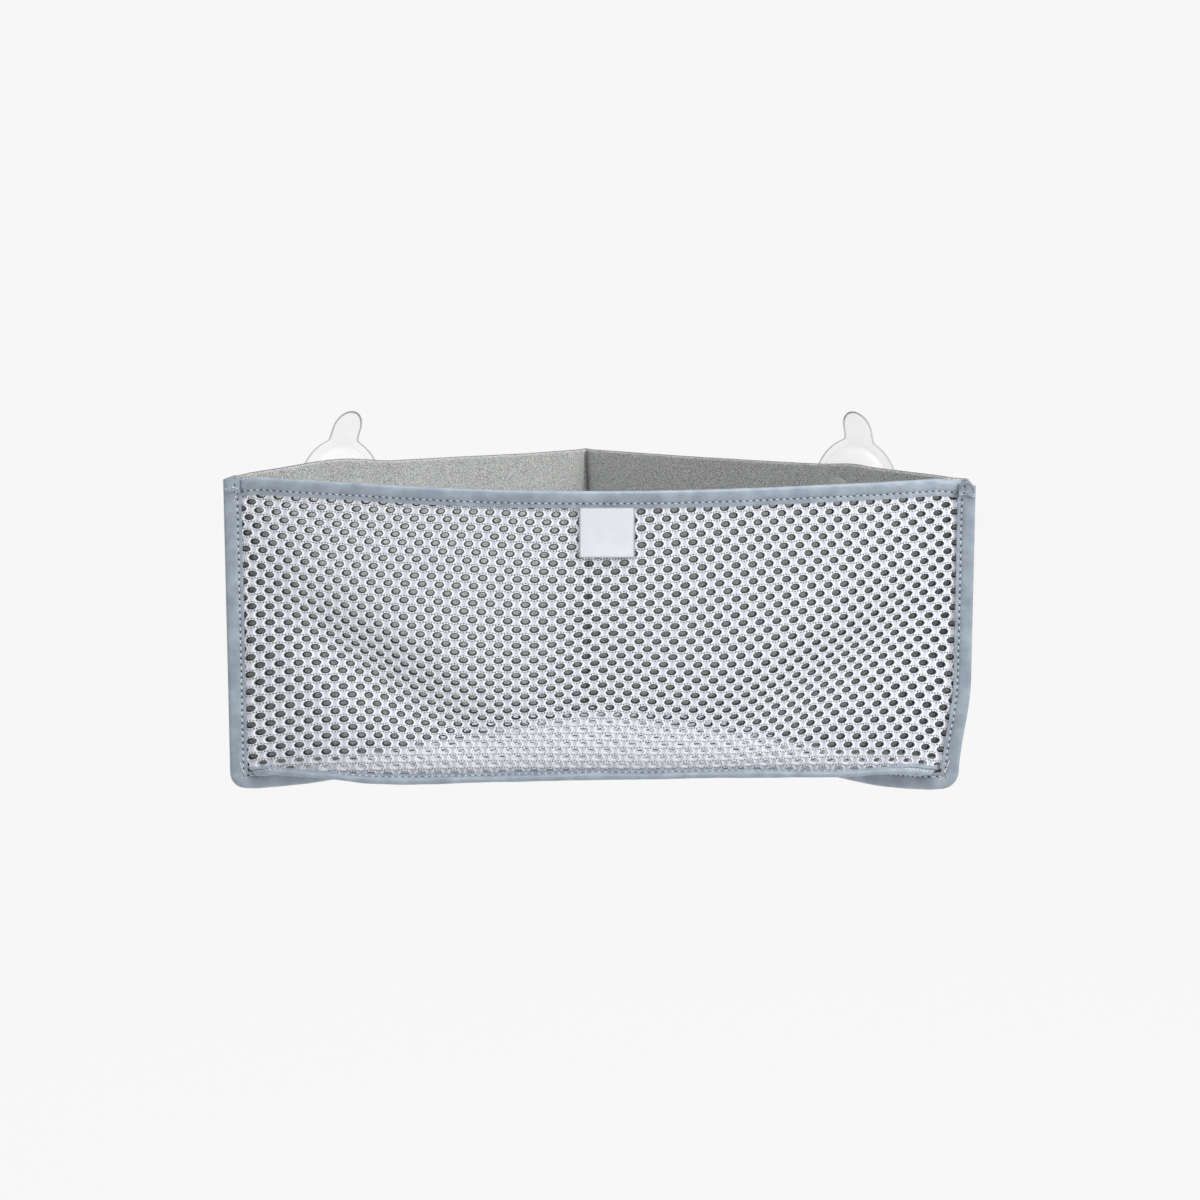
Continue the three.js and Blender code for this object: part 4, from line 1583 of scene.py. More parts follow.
@dataclass(frozen=True)
class FloorNet:
    """The three-cornered floor: the same net, nearly level.

    Past its rim the lattice turns down, by as much as it would have passed the rim, and
    ends in the tapes. It sags a little between front and walls.
    """

    form: BasketForm
    weave: NetWeave = NetWeave(crest_rise=0.02, lip=0.05, hole_height=3.2)
    columns: range = range(-44, 45)
    rows: range = range(-12, 50)
    shift: Pair = (1.3, -1.1)
    sag: float = 2.0
    sag_length: float = 60.0
    drop: float = 0.4
    rim_gap: float = 1.7
    rim_end: float = 170.0
    side_gap: float = 4.0
    hem: float = 6.0
    front_hem: float = 2.2
    hem_turn: float = 2.0
    hem_press: float = 0.9
    lit_depth: float = 22.0

    def _wall_reach(self) -> float:
        """Sum of |x| and y on the walls' inner faces, which is the same all along them.

        Returns:
            The sum.
        """
        form = self.form
        tip = form.bend_x + form.bend_radius - form.bend_radius * math.sqrt(2.0)
        return form.front_y + tip

    def _front_rim(self, x: Array) -> Array:
        """y of the floor's front rim, a little behind the front net's lower seam."""
        return self.form.surface(x, np.zeros_like(x))[..., 1] + self.rim_gap

    def _even(self, columns: Array, rows: Array) -> tuple[Array, Array, Array]:
        """x and y on the even lattice, and how far that is past the nearer wall.

        Args:
            columns: Lattice columns.
            rows: Lattice rows.

        Returns:
            x, y, and the distance past the wall, negative on the floor.
        """
        x = columns * HOLE_PITCH / 2 + self.shift[0]
        y = self.form.front_y + rows * ROW_SPACING + self.shift[1]
        return x, y, (np.abs(x) + y - self._wall_reach()) * DIAGONAL

    def _place(self, columns: Array, rows: Array, depth: Array) -> Array:
        """A lattice place on the floor; depth is a distance below its middle.

        Args:
            columns: Lattice columns.
            rows: Lattice rows.
            depth: Distance below the floor's middle.

        Returns:
            The places.
        """
        x, y, past_wall = self._even(columns, rows)
        past_wall = np.maximum(past_wall, 0.0)
        x = x - np.sign(x) * past_wall * DIAGONAL
        y = y - past_wall * DIAGONAL
        rim = self._front_rim(x)
        past_front = np.maximum(rim - y, 0.0)
        y = np.maximum(y, rim)
        back = np.maximum(self._wall_reach() - np.abs(x), rim + 1.0)
        share = np.clip((y - rim) / (back - rim), 0.0, 1.0)
        z = blend(self.form.net_foot(x) - self.drop, self.form.floor_line(x), share)
        length = np.minimum(back - rim, self.sag_length) / self.sag_length
        z = z - self.sag * np.sin(math.pi * share) * length
        z = z - np.minimum(past_wall, self.hem) - np.minimum(past_front, self.front_hem)
        hem, front_hem = smooth(past_wall / self.hem_turn), smooth(past_front / self.hem_turn)
        x = x + np.sign(x) * depth * hem * DIAGONAL / 2
        y = y + depth * hem * DIAGONAL / 2 - depth * front_hem / 2
        down = depth * (1.0 - self.hem_press * np.maximum(hem, front_hem))
        return np.stack([x + self.form.shift_at(y), y, z - down], axis=-1)

    def shell(self) -> Shell:
        """The floor's closed shell, over every hole inside the rim and its hem.

        Returns:
            The shell. Its mark lit is 1 beside the front and fades further back.
        """
        columns, rows = staggered(self.columns, self.rows)
        x, y, past_wall = self._even(columns, rows)
        past_front = self._front_rim(np.clip(x, -self.rim_end, self.rim_end)) - y
        inside = (past_wall < self.hem) & (past_front < self.front_hem)
        inside &= np.abs(x) < self.form.bend_x - self.side_gap
        shell = self.weave.shell(columns[inside], rows[inside], self._place)
        behind = shell.points[:, 1] - self._front_rim(shell.points[:, 0])
        shell.marks["lit"] = 1.0 - smooth(behind / self.lit_depth - 1.0)
        return shell


@dataclass(frozen=True)
class Nets:
    """The front net and the floor net."""

    form: BasketForm
    material: bpy.types.Material

    def build(self) -> None:
        front = mesh_object("front_net", FrontNet(self.form).shell(), self.material)
        ride(front, Body.BASKET, Slot.AIR_MESH, "front_mesh_panel")
        floor = mesh_object("floor_net", FloorNet(self.form).shell(), self.material)
        ride(floor, Body.BASKET, Slot.AIR_MESH, "mesh_floor")


# ---------------------------------------------------------------- tape and thread


@dataclass(frozen=True)
class TapeSection:
    """Section of a folded tape, as insets from its fold and depths behind the cloth.

    Each face swells between fold and stitch row, dips at the row, and ends in a flat lip.
    The inside is a slot for the cloth.
    """

    slot_front: float = -0.9
    slot_back: float = 0.9
    slot_end: float = 0.45
    width: float = 8.6
    cloth: float = 0.45
    puff: float = 0.55
    puff_power: float = 0.8
    stitch_inset: float = NEEDLE_ROW
    groove: float = 0.35
    groove_width: float = 0.9
    nose: float = 1.5
    face_steps: int = 18
    nose_steps: int = 7

    def outer(self, inset: Array, front: bool) -> Array:
        """Depth of the tape's outside at an inset.

        A face stands off the slot's wall by the cloth's thickness and half a sine between
        fold and stitch row, less a bell at the row.

        Args:
            inset: Distance from the fold.
            front: Whether the front face is meant, or else the back.

        Returns:
            The depths.
        """
        share = np.clip(inset / self.stitch_inset, 0.0, 1.0)
        bell = np.exp(-(((inset - self.stitch_inset) / self.groove_width) ** 2))
        swell = self.cloth + self.puff * np.sin(math.pi * share) ** self.puff_power
        swell = swell - self.groove * bell
        return self.slot_front - swell if front else self.slot_back + swell

    def outline(self) -> tuple[Array, Array, Array]:
        """The section's closed line.

        Returns:
            Insets, depths, and the surface coordinate round it: the distance from the
            fold, negative on the back, scaled so that the stitch row lies at NEEDLE_ROW.
        """
        face = np.linspace(self.width, self.nose, self.face_steps)
        turn = np.linspace(-math.pi / 2, math.pi / 2, self.nose_steps + 2)[1:-1]
        start, end = (self.outer(np.array(self.nose), front) for front in (True, False))
        nose_inset = self.nose * (1.0 - np.cos(turn))
        nose_depth = (start + end) / 2 + (end - start) / 2 * np.sin(turn)
        slot = np.array([self.width, self.slot_end, self.slot_end, self.width])
        slot_depth = np.repeat([self.slot_back, self.slot_front], 2)
        inset = np.concatenate([face, nose_inset, face[::-1], slot])
        depth = np.concatenate(
            [self.outer(face, True), nose_depth, self.outer(face[::-1], False), slot_depth]
        )
        signed = np.concatenate([face, nose_inset, -face[::-1], -slot[:2], slot[2:]])
        signed = signed * (NEEDLE_ROW / self.stitch_inset)
        return inset, depth, np.append(signed, signed[0])


@dataclass(frozen=True)
class Thread:
    """One stitch: a short bent length of thread that dives into the cloth at its ends."""

    length: float = 2.3
    radius: float = 0.26
    rise: float = 0.22
    dive: float = 0.45
    rings: int = 5
    sides: int = 6
    side_width: float = 0.3

    def stitches(self, place: Place, along: Array, inset: Array, depth: Array) -> Shell:
        """Lays stitches on a surface.

        A stitch is a row of rings whose radius is a half sine to the power of a third,
        on a line that is a parabola above the surface.

        Args:
            place: Map from along, inset and depth to places.
            along: Middle of each stitch.
            inset: Inset of each stitch, one pair each for its start and end.
            depth: Depth of the surface under each, where less is further out.

        Returns:
            All the stitches as one shell.
        """
        share = np.linspace(0.0, 1.0, self.rings + 2)[1:-1][None, :, None]
        turn = (np.arange(self.sides) * FULL_TURN / self.sides)[None, None, :]
        radius = self.radius * np.sin(math.pi * share) ** (1 / 3)
        arch = (1.0 - (2.0 * share - 1.0) ** 2) * (self.rise + self.dive) - self.dive
        a = along[:, None, None] + self.length * (share - 0.5) + 0.0 * turn
        b = blend(inset[:, 0, None, None], inset[:, 1, None, None], share)
        b = b + radius * np.cos(turn)
        c = depth[:, None, None] - arch + radius * np.sin(turn)
        points = place(a.ravel(), b.ravel(), c.ravel()).reshape(*a.shape, 3)
        lengths = self.length * np.linspace(0.0, 1.0, self.rings)
        return tubes(points, lengths, np.arange(self.sides + 1) * self.side_width)


@dataclass(frozen=True)
class TackRow:
    """A short row of extra stitches on a tape, from one place to another.

    A place is a pair of distance along the tape and inset. Rows that run across the tape
    are laid across it, and the others along it.
    """

    start: Pair
    end: Pair
    pitch: float = 2.0

    @property
    def across(self) -> bool:
        """Whether the row runs across the tape rather than along it."""
        return abs(self.end[1] - self.start[1]) > abs(self.end[0] - self.start[0])

    def moved(self, along: float) -> TackRow:
        """The same row further along the tape."""
        start, end = ((place[0] + along, place[1]) for place in (self.start, self.end))
        return TackRow(start, end, self.pitch)

    def middles(self) -> tuple[Array, Array, float]:
        """Middles of the stitches.

        Returns:
            Distances along the row's main direction, distances in the other direction, and
            how much the second grows with the first.
        """
        start, end = np.array(self.start), np.array(self.end)
        if self.across:
            start, end = start[::-1], end[::-1]
        count = max(int(round(float(np.hypot(*(end - start))) / self.pitch)), 1)
        share = (np.arange(count) + 0.5) / count
        slope = float((end[1] - start[1]) / (end[0] - start[0]))
        return blend(start[0], end[0], share), blend(start[1], end[1], share), slope


def swapped(place: Place) -> Place:
    """A map with its first two directions changed round."""
    return lambda first, second, depth: place(second, first, depth)


@dataclass(frozen=True)
class SewnTape:
    """A folded tape along a path, with a row of stitches on its front and on its back.

    The swelling waxes and wanes along it by a calm ripple.
    """

    place: Place
    length: float
    section: TapeSection = TapeSection()
    thread: Thread = Thread()
    start: float = 0.0
    step: float = 2.0
    ripple: Ripple = Ripple(0.16, 61.0)
    stitch_from: float = 1.0
    stitch_to: float = 1.0
    seed: int = 3
    stray: float = 0.12
    tacks: tuple[TackRow, ...] = ()

    def _out(self, along: Array, depth: Array) -> Array:
        """A depth on the tape's outside, moved off the middle by the ripple there."""
        middle = (self.section.slot_front + self.section.slot_back) / 2
        return middle + (depth - middle) * (1.0 + self.ripple(along))

    def shell(self) -> Shell:
        """The tape's closed shell.

        Returns:
            The shell, with a ring of the section's line at each step.
        """
        inset, depth, around = self.section.outline()
        count = max(int(round(self.length / self.step)), 2) + 1
        along = np.linspace(self.start, self.start + self.length, count)
        a = np.repeat(along, inset.size)
        rings = self.place(a, np.tile(inset, count), self._out(a, np.tile(depth, count)))
        return tubes(rings.reshape(1, count, inset.size, 3), along, around)

    def stitches(self) -> Shell:
        """The stitches of both rows, each a little astray.

        Returns:
            All stitches as one shell, those of the extra rows too.
        """
        chance = np.random.default_rng(self.seed)
        first = math.ceil((self.start + self.stitch_from) / STITCH_PITCH) + 0.5
        last = (self.start + self.length - self.stitch_to) / STITCH_PITCH
        along = np.arange(first, last) * STITCH_PITCH
        rows = []
        for front in (True, False):
            stray = chance.normal(0.0, self.stray, (along.size, 2))
            inset = self.section.stitch_inset + stray
            depth = self._out(along, self.section.outer(inset.mean(axis=1), front))
            place = self.place if front else self._mirrored
            rows.append(self.thread.stitches(place, along, inset, depth if front else -depth))
        return Shell.joined([row.facing_out() for row in rows + self._tacked()])

    def _tacked(self) -> list[Shell]:
        """The extra rows of stitches on the tape's front.

        Returns:
            One shell for each row.
        """
        shells = []
        for row in self.tacks:
            main, other, slope = row.middles()
            spread = slope * self.thread.length / 2
            beside = np.stack([other - spread, other + spread], axis=-1)
            inset, along = (main, other) if row.across else (other, main)
            depth = self._out(along, self.section.outer(inset, True))
            place = swapped(self.place) if row.across else self.place
            shells.append(self.thread.stitches(place, main, beside, depth))
        return shells

    def _mirrored(self, along: Array, inset: Array, depth: Array) -> Array:
        """The tape's place with depths counted outwards from its back."""
        return self.place(along, inset, -depth)


@dataclass(frozen=True)
class EdgePath:
    """Path of a side tape: down the side, round the lower corner, along the panel's foot."""

    form: BasketForm
    side: Side
    outset: float = 0.0
    slant: float = 0.0
    slant_fade: float = 7.0
    shoulders: Pair = (0.0, 0.0)
    shoulder_places: Pair = (-0.5, 4.6)
    shoulder_width: float = 4.0
    top_rise: float = 0.4

    @property
    def down(self) -> float:
        """Length of the straight side, down to where the corner's arc begins.

        Returns:
            The length.
        """
        radius = self.form.corner_radius
        corner_z = float(self.form.panel_low(self.side, np.array(radius))) + radius
        return self.form.top + self.top_rise - corner_z

    @property
    def length(self) -> float:
        """Length of the whole path."""
        radius = self.form.corner_radius
        return self.down + radius * math.pi / 2 + self.form.wrap_length - radius

    def __call__(self, along: Array, inset: Array, depth: Array) -> Array:
        """A place of the tape.

        Along the side the inset is a distance in from the side, on the foot a distance
        up from it, and on the corner's arc it points to the arc's middle. The top end
        slants, and its shoulders fall away as smooth steps.

        Args:
            along: Distance along the tape from its top end.
            inset: Distance from its fold.
            depth: Distance behind the cloth.

        Returns:
            Places.
        """
        along, inset, depth = np.broadcast_arrays(along, inset - self.outset, depth)
        radius = self.form.corner_radius
        turn = np.clip((along - self.down) / radius, 0.0, math.pi / 2)
        foot = np.maximum(along - self.down - radius * math.pi / 2, 0.0)
        reach = radius * (1.0 - np.cos(turn)) + foot
        low = self.form.panel_low(self.side, np.maximum(reach, radius))
        side_z = self.form.top + self.top_rise - np.minimum(along, self.down)
        foot_z = low + radius * (1.0 - np.sin(turn))
        outer, inner = (
            smooth((inset - start) / self.shoulder_width) for start in self.shoulder_places
        )
        dome = self.slant * inset - self.shoulders[0] * (1.0 - outer) - self.shoulders[1] * inner
        z = np.where(along < self.down, side_z, foot_z)
        z = z + dome * np.exp(-np.maximum(along, 0.0) / self.slant_fade)
        return self.form.wrap(
            self.side, reach + np.cos(turn) * inset, z + np.sin(turn) * inset, depth
        )


@dataclass(frozen=True)
class FoldedEnd:
    """The end of a side tape, folded back over its top and tacked down."""

    length: float
    puff: float
    tacks: tuple[TackRow, ...]


@dataclass(frozen=True)
class Bindings:
    """The four tapes that bind the cloth's edges, and their stitching."""

    form: BasketForm
    tape: bpy.types.Material
    low_tape: bpy.types.Material
    thread: bpy.types.Material
    top_end: float = 173.5
    top_droop: float = 1.6
    droop_span: Pair = (160.0, 14.0)
    bottom_end: float = 171.0
    side_start: float = 1.0
    side_section: TapeSection = TapeSection(
        slot_front=-1.5, slot_back=3.6, width=8.9, nose=1.7, stitch_inset=6.9
    )
    end_section: TapeSection = TapeSection(
        slot_front=-1.5, slot_back=3.6, width=9.0, nose=1.7, cloth=1.25, groove=0.0, slot_end=8.4
    )
    bottom_tacks: tuple[TackRow, ...] = (
        TackRow((2.5, 1.3), (19.0, 1.1), 2.9),
        TackRow((322.0, 1.1), (339.0, 1.3), 2.1),
    )
    corner_tacks: tuple[TackRow, ...] = (
        TackRow((-6.0, 5.4), (1.0, 7.4), 1.9),
        TackRow((-1.0, 7.6), (6.0, 5.0), 1.9),
        TackRow((5.0, 7.4), (13.0, 5.6), 2.1),
    )
    left_end: FoldedEnd = FoldedEnd(
        6.2, 0.6, (TackRow((4.6, 0.8), (4.2, 7.8), 1.6), TackRow((5.6, 6.6), (9.4, 6.3), 1.6))
    )
    right_end: FoldedEnd = FoldedEnd(
        7.4, 0.9, (TackRow((5.6, 0.6), (5.8, 8.4), 1.5), TackRow((6.9, 0.9), (6.7, 8.2), 1.7))
    )
    gap_shadow_share: float = 0.8
    gap_shadow_span: Pair = (0.9, 0.8)
    roll_size: tuple[float, float, float] = (2.9, 1.7, 0.5)
    roll_middle: Pair = (4.3, 2.9)
    roll_turn: Pair = (-35.0, 215.0)
    roll_rings: int = 40
    roll_sides: int = 8

    def build(self) -> None:
        """Builds all four tapes."""
        self._tape(self._top(), "top_binding", self.tape)
        self._tape(self._bottom(), "front_bottom_binding", self.low_tape)
        for side in Side:
            self._tape(self._edge(side), f"{side.word}_edge_binding", self.tape)
            self._flap(side)

    def _top(self) -> SewnTape:
        """The tape over the front's top edge.

        Returns:
            The tape.
        """

        def place(along: Array, inset: Array, depth: Array) -> Array:
            """A place of the top tape, where along is x from its left end.

            Args:
                along: Distance from the tape's left end.
                inset: Distance from its fold.
                depth: Distance behind the cloth's middle.

            Returns:
                The places.
            """
            x = along - self.top_end
            start, width = self.droop_span
            droop = self.top_droop * smooth((np.abs(x) - start) / width)
            return self.form.from_top(x, inset + droop, depth)

        section = TapeSection(width=8.2, puff=0.8)
        ripple = Ripple(0.14, 74.0, 0.6)
        return SewnTape(place, 2 * self.top_end, section=section, ripple=ripple)

    def _bottom(self) -> SewnTape:
        """The tape over the lower seam's flange.

        Returns:
            The tape.
        """

        def place(along: Array, inset: Array, depth: Array) -> Array:
            """A place of the lower tape, where along is x from its left end."""
            return self.form.flange_place(along - self.bottom_end, inset, depth)

        section = TapeSection(
            slot_front=-0.7, slot_back=0.7, width=8.0, cloth=0.4, puff=0.35,
            stitch_inset=4.1, groove=0.3, nose=1.0,
        )
        return SewnTape(
            place, 2 * self.bottom_end, section=section,
            thread=Thread(length=2.0, radius=0.3, rise=0.25), ripple=Ripple(0.2, 83.0, 2.0),
            stitch_from=42.0, stitch_to=46.0, seed=5, tacks=self.bottom_tacks,
        )

    def _edge(self, side: Side) -> SewnTape:
        """The tape down one side and along the panel's foot.

        Args:
            side: Which side.

        Returns:
            The tape.
        """
        path = self._path(side)
        return SewnTape(
            path, path.length - self.side_start, section=self.side_section,
            start=self.side_start, ripple=Ripple(0.08, 57.0, 1.0 + side.value),
            stitch_from=7.0, seed=7 + side.value,
            tacks=tuple(row.moved(path.down) for row in self.corner_tacks),
        )

    def _path(self, side: Side) -> EdgePath:
        """Path of one side tape.

        Args:
            side: Which side.

        Returns:
            The path.
        """
        if side is Side.LEFT:
            return EdgePath(self.form, side, slant=0.35, shoulders=(0.0, 3.0))
        return EdgePath(self.form, side, outset=1.3, shoulders=(3.2, 3.2))

    def _flap(self, side: Side) -> None:
        """Makes the folded end of a side tape, and the rolled edge of the right one.

        Args:
            side: Which side.
        """
        end = self.left_end if side is Side.LEFT else self.right_end
        section = replace(self.end_section, puff=end.puff)
        path = self._path(side)
        flap = SewnTape(
            path, end.length, section=section, step=0.5, ripple=Ripple(0.0, 50.0),
            thread=Thread(length=1.7, radius=0.2), stitch_to=50.0, tacks=end.tacks,
        )
        shell = flap.shell()
        # Painted shadow along the flap's inner lip, for the gap between it and the tape under it.
        width, fade = self.gap_shadow_span
        inset = section.outline()[0]
        lip = self.gap_shadow_share * smooth((inset - section.width + width) / fade)
        shell.marks["lip"] = np.resize(lip, len(shell.points))
        piece = mesh_object(f"{side.word}_end_flap_cloth", shell, self.tape)
        ride(piece, Body.BASKET, Slot.BINDING_TAPE)
        lay_thread(f"{side.word}_end_flap", flap.stitches(), self.thread)
        if side is Side.RIGHT:
            roll = mesh_object("right_end_roll_cloth", self._roll(path, section), self.tape)
            ride(roll, Body.BASKET, Slot.BINDING_TAPE)

    def _roll(self, path: EdgePath, section: TapeSection) -> Shell:
        """The rolled inner edge of a folded end.

        A round tube follows an arc of an oval on the flap's front.

        Args:
            path: The side tape's path.
            section: The flap's section.

        Returns:
            The tube's closed shell.
        """
        wide, high, radius = self.roll_size
        beside, below = self.roll_middle
        arc = np.radians(np.linspace(*self.roll_turn, self.roll_rings))[:, None]
        turn = np.arange(self.roll_sides)[None, :] * (FULL_TURN / self.roll_sides)
        off = radius * np.cos(turn)
        inset = beside + (wide + off) * np.cos(arc)
        along = below - (high + off) * np.sin(arc)
        depth = section.outer(np.full_like(inset, beside), True) + radius * np.sin(turn)
        rings = path(along, inset, depth)
        return tubes(rings[None], arc[:, 0] * wide, np.arange(self.roll_sides + 1) * radius)

    def _tape(self, tape: SewnTape, node: str, cloth: bpy.types.Material) -> None:
        """Args:
            tape: The tape.
            node: The model's node that it stands for.
            cloth: Its material.
        """
        piece = mesh_object(f"{node}_cloth", tape.shell(), cloth)
        ride(piece, Body.BASKET, Slot.BINDING_TAPE, node)
        tape.length * METRES_PER_MILLIMETRE
        lay_thread(node, tape.stitches(), self.thread)


# ---------------------------------------------------------------- panels, label, cups


@dataclass(frozen=True)
class BackPanel:
    """One neoprene back panel with a rounded upper edge and the hole for a cup's neck.

    The grid's rows stand at reaches: even steps on both sides of the hole, and measured
    ones round the bend and beside the corner seam. A block of its faces, even steps high
    and wide, gives way to the hole.
    """

    form: BasketForm
    side: Side
    material: bpy.types.Material
    hole_radius: float = 4.3
    hole_cut: float = 0.6
    block: int = 2
    step: float = 4.0
    least_step: float = 1.0
    bend_rows: tuple[float, ...] = (2.0, 3.5, 5.0, 6.5, 8.0)
    seam_rows: tuple[float, ...] = (
        6.5, 5.5, 4.8, 4.3, 3.8, 3.2, 2.4, 1.6, 1.0, 0.5, 0.0, -1.0, -1.7, -6.0,
    )
    high_shares: tuple[float, ...] = (0.3, 0.6, 0.86, 1.0)
    low_steps: int = 29
    edge_steps: int = 6
    foot_gap: float = 1.1
    wave: Ripple = Ripple(0.35, 71.0, 0.7)
    wave_slant: float = 0.35
    still_cup: Pair = (9.0, 25.0)
    still_side: Pair = (16.0, 20.0)
    still_foot: Pair = (-132.0, 16.0)
    inner_depth: float = 1.6
    groove: Pair = (1.7, 0.9)
    strip_width: float = 4.6
    strip_height: float = 0.8
    strip_edge: float = 0.7
    strip_widens: Pair = (-2.0, 14.0)
    strip_begins: Pair = (-3.0, 4.0)
    # Painted shade of the corner seam's crevice on the right panel's end: reach past the seam, and
    # strength.
    painted_seam_shade: Pair = (1.5, 0.9)

    def build(self) -> None:
        name = f"{self.side.word}_back_panel"
        piece = mesh_object(f"{name}_neoprene", self.shell(), self.material)
        ride(piece, Body.BASKET, Slot.NEOPRENE, name)

    def _reaches(self) -> tuple[Array, int]:
        """Reaches of the grid's rows, with one at the hole's middle, and its number.

        Returns:
            The reaches, and the number of the hole's row.
        """
        length = self.form.wrap_length
        before = np.arange(CUP_REACH, self.form.mouth, -self.step)[::-1]
        after = np.arange(CUP_REACH, length, self.step)[1:]
        bend, near_seam = np.array(self.bend_rows), length - np.array(self.seam_rows)
        bend = bend[bend < before[0] - self.least_step]
        after = after[after < near_seam[0] - self.least_step]
        return np.concatenate([bend, before, after, near_seam]), len(bend) + len(before) - 1

    def _levels(self, top: Array, low: Array) -> tuple[Array, int]:
        """Heights of the grid's columns for each row, with one at the hole's middle.

        Even steps of the hole's block stand round height 0, and the rest are spread
        above and below it.

        Args:
            top: Upper edge for each row.
            low: Lower edge for each row.

        Returns:
            Heights, rows by columns, and the number of the column at height 0.
        """
        block = np.arange(-self.block, self.block + 1) * self.step
        below = np.linspace(1.0, 0.0, self.low_steps + 1)[:-1]
        low_part = blend(block[0], low[:, None], below[None, :])
        high_part = blend(block[-1], top[:, None], np.array(self.high_shares)[None, :])
        middle = np.broadcast_to(block, (len(top), block.size))
        return np.concatenate([low_part, middle, high_part], axis=1), len(below) + self.block

    def shell(self) -> Shell:
        """The panel's closed shell.

        Each grid row is a closed loop: up the inner face, a half circle over the edge,
        down the outer face. Both faces have a hole, and a wall joins the two holes.

        Returns:
            The shell. Its mark cut is high on the cut edges, and on the right panel's end in
            the corner seam, where it is also painted shade of the seam's crevice.
        """
        form = self.form
        reaches, centre_row = self._reaches()
        half = (form.outer_face - form.inner_face) / 2
        top = form.panel_top(self.side, reaches)
        low = form.panel_foot(self.side, reaches) + self.foot_gap
        levels, centre_column = self._levels(top - half, low)
        turn = np.linspace(0.0, math.pi, self.edge_steps + 1)[1:-1]
        edge_z = (top - half)[:, None] + half * np.sin(turn)
        edge_depth = np.broadcast_to(form.inner_face + half - half * np.cos(turn), edge_z.shape)
        inner = np.full(levels.shape, form.inner_face)
        outer = np.full(levels.shape, form.outer_face)
        z = np.concatenate([levels, edge_z, levels[:, ::-1]], axis=1)
        depth = np.concatenate([inner, edge_depth, outer], axis=1)
        depth = depth + self._relief(reaches[:, None], z, depth)
        rings = form.wrap(self.side, reaches[:, None], z, depth)
        shell = tubes(rings[None], reaches, np.arange(z.shape[1] + 1) * self.step)
        face = np.zeros(levels.shape[1])
        cut = np.concatenate([face, np.sin(turn), face])
        inside = np.arange(cut.size) < face.size + turn.size
        # Painted shade of the seam's crevice, on the right panel's end in the corner seam.
        start, share = self.painted_seam_shade
        seam = (reaches > form.wrap_length + start) * (share if self.side is Side.RIGHT else 0.0)
        shell.marks["cut"] = np.maximum(cut, seam[:, None] * inside).ravel()
        return self._pierced(shell, z.shape[1], centre_row, centre_column)

    def _relief(self, reach: Array, z: Array, depth: Array) -> Array:
        """Calm waves of the cloth, none near the cup, and a lip beside the corner seam.

        Args:
            reach: Distance along the panel.
            z: Height.
            depth: Depth without the relief, which tells the faces apart.

        Returns:
            What the relief adds to the depth.
        """

        def rising(value: Array, span: Pair) -> Array:
            """Eases from 0 to 1 over a span, given as its start and width."""
            return smooth((value - span[0]) / span[1])

        away = rising(np.hypot(reach - CUP_REACH, z), self.still_cup)
        held = rising(reach, self.still_side) * rising(z, self.still_foot)
        waves = self.wave(reach + self.wave_slant * z) * away * held
        from_seam = np.maximum(self.form.wrap_length - reach, 0.0)
        inner = depth < self.form.inner_face + self.inner_depth
        deep, wide = self.groove
        groove = deep * np.exp(-((from_seam / wide) ** 2)) * inner
        if self.side is Side.LEFT:
            return waves + groove
        width = self.strip_width * rising(z, self.strip_widens)
        strip = (1.0 - rising(from_seam, (width, self.strip_edge))) * rising(z, self.strip_begins)
        return waves + groove - self.strip_height * strip * inner

    def _pierced(self, shell: Shell, size: int, row: int, column: int) -> Shell:
        """Cuts the neck's hole: a block of faces gives way to a ring round a circle.

        Args:
            shell: The panel's shell.
            size: Number of points in a grid row.
            row: Row of the hole's middle.
            column: Column of the hole's middle on the inner face.

        Returns:
            The shell with the hole.
        """
        faces, coords = shell.faces[0], shell.coords[0]
        r, c = faces[:, 0] // size, faces[:, 0] % size
        twin = size - 1 - column
        block, ways = self.block, range(-self.block, self.block)
        in_rows = (r >= row - block) & (r < row + block)
        in_columns = [(c >= middle - block) & (c < middle + block) for middle in (column, twin)]
        keep = ~(in_rows & (in_columns[0] | in_columns[1]))
        steps = np.array([
            *((block, k) for k in ways), *((-k, block) for k in ways),
            *((-block, -k) for k in ways), *((k, -block) for k in ways),
        ])
        inner_edge = (row + steps[:, 0]) * size + column + steps[:, 1]
        outer_edge = (row + steps[:, 0]) * size + twin - steps[:, 1]
        turn = np.arctan2(steps[:, 1], steps[:, 0])
        reach = CUP_REACH + self.hole_radius * np.cos(turn)
        height = self.hole_radius * np.sin(turn)
        front, back = (
            self.form.wrap(self.side, reach, height, np.array(face))
            for face in (self.form.inner_face, self.form.outer_face)
        )
        front_ring = len(shell.points) + np.arange(len(steps))
        back_ring = front_ring + len(steps)
        bands = [(inner_edge, front_ring), (front_ring, back_ring), (back_ring, outer_edge)]
        added = np.concatenate(
            [np.stack([a, np.roll(a, -1), np.roll(b, -1), b], axis=-1) for a, b in bands]
        )
        added = self._matched(added, faces[keep])
        cut = np.full(2 * len(steps), self.hole_cut)
        return Shell(
            points=np.concatenate([shell.points, front, back]),
            faces=[faces[keep], added, *shell.faces[1:]],
            coords=[coords[keep], np.zeros((len(added), 4, 2)), *shell.coords[1:]],
            marks={"cut": np.append(shell.marks["cut"], cut)},
        )

    @staticmethod
    def _matched(added: Array, kept: Array) -> Array:
        """Turns added faces over where they run along a kept edge the same way as it.

        Args:
            added: The new faces.
            kept: The faces they join.

        Returns:
            The new faces, facing as the kept ones do.
        """
        size = int(max(added.max(), kept.max())) + 1
        ways = (kept * size + np.roll(kept, -1, axis=1)).ravel()
        own = (added * size + np.roll(added, -1, axis=1)).ravel()
        return added[:, ::-1] if np.isin(own, ways).any() else added


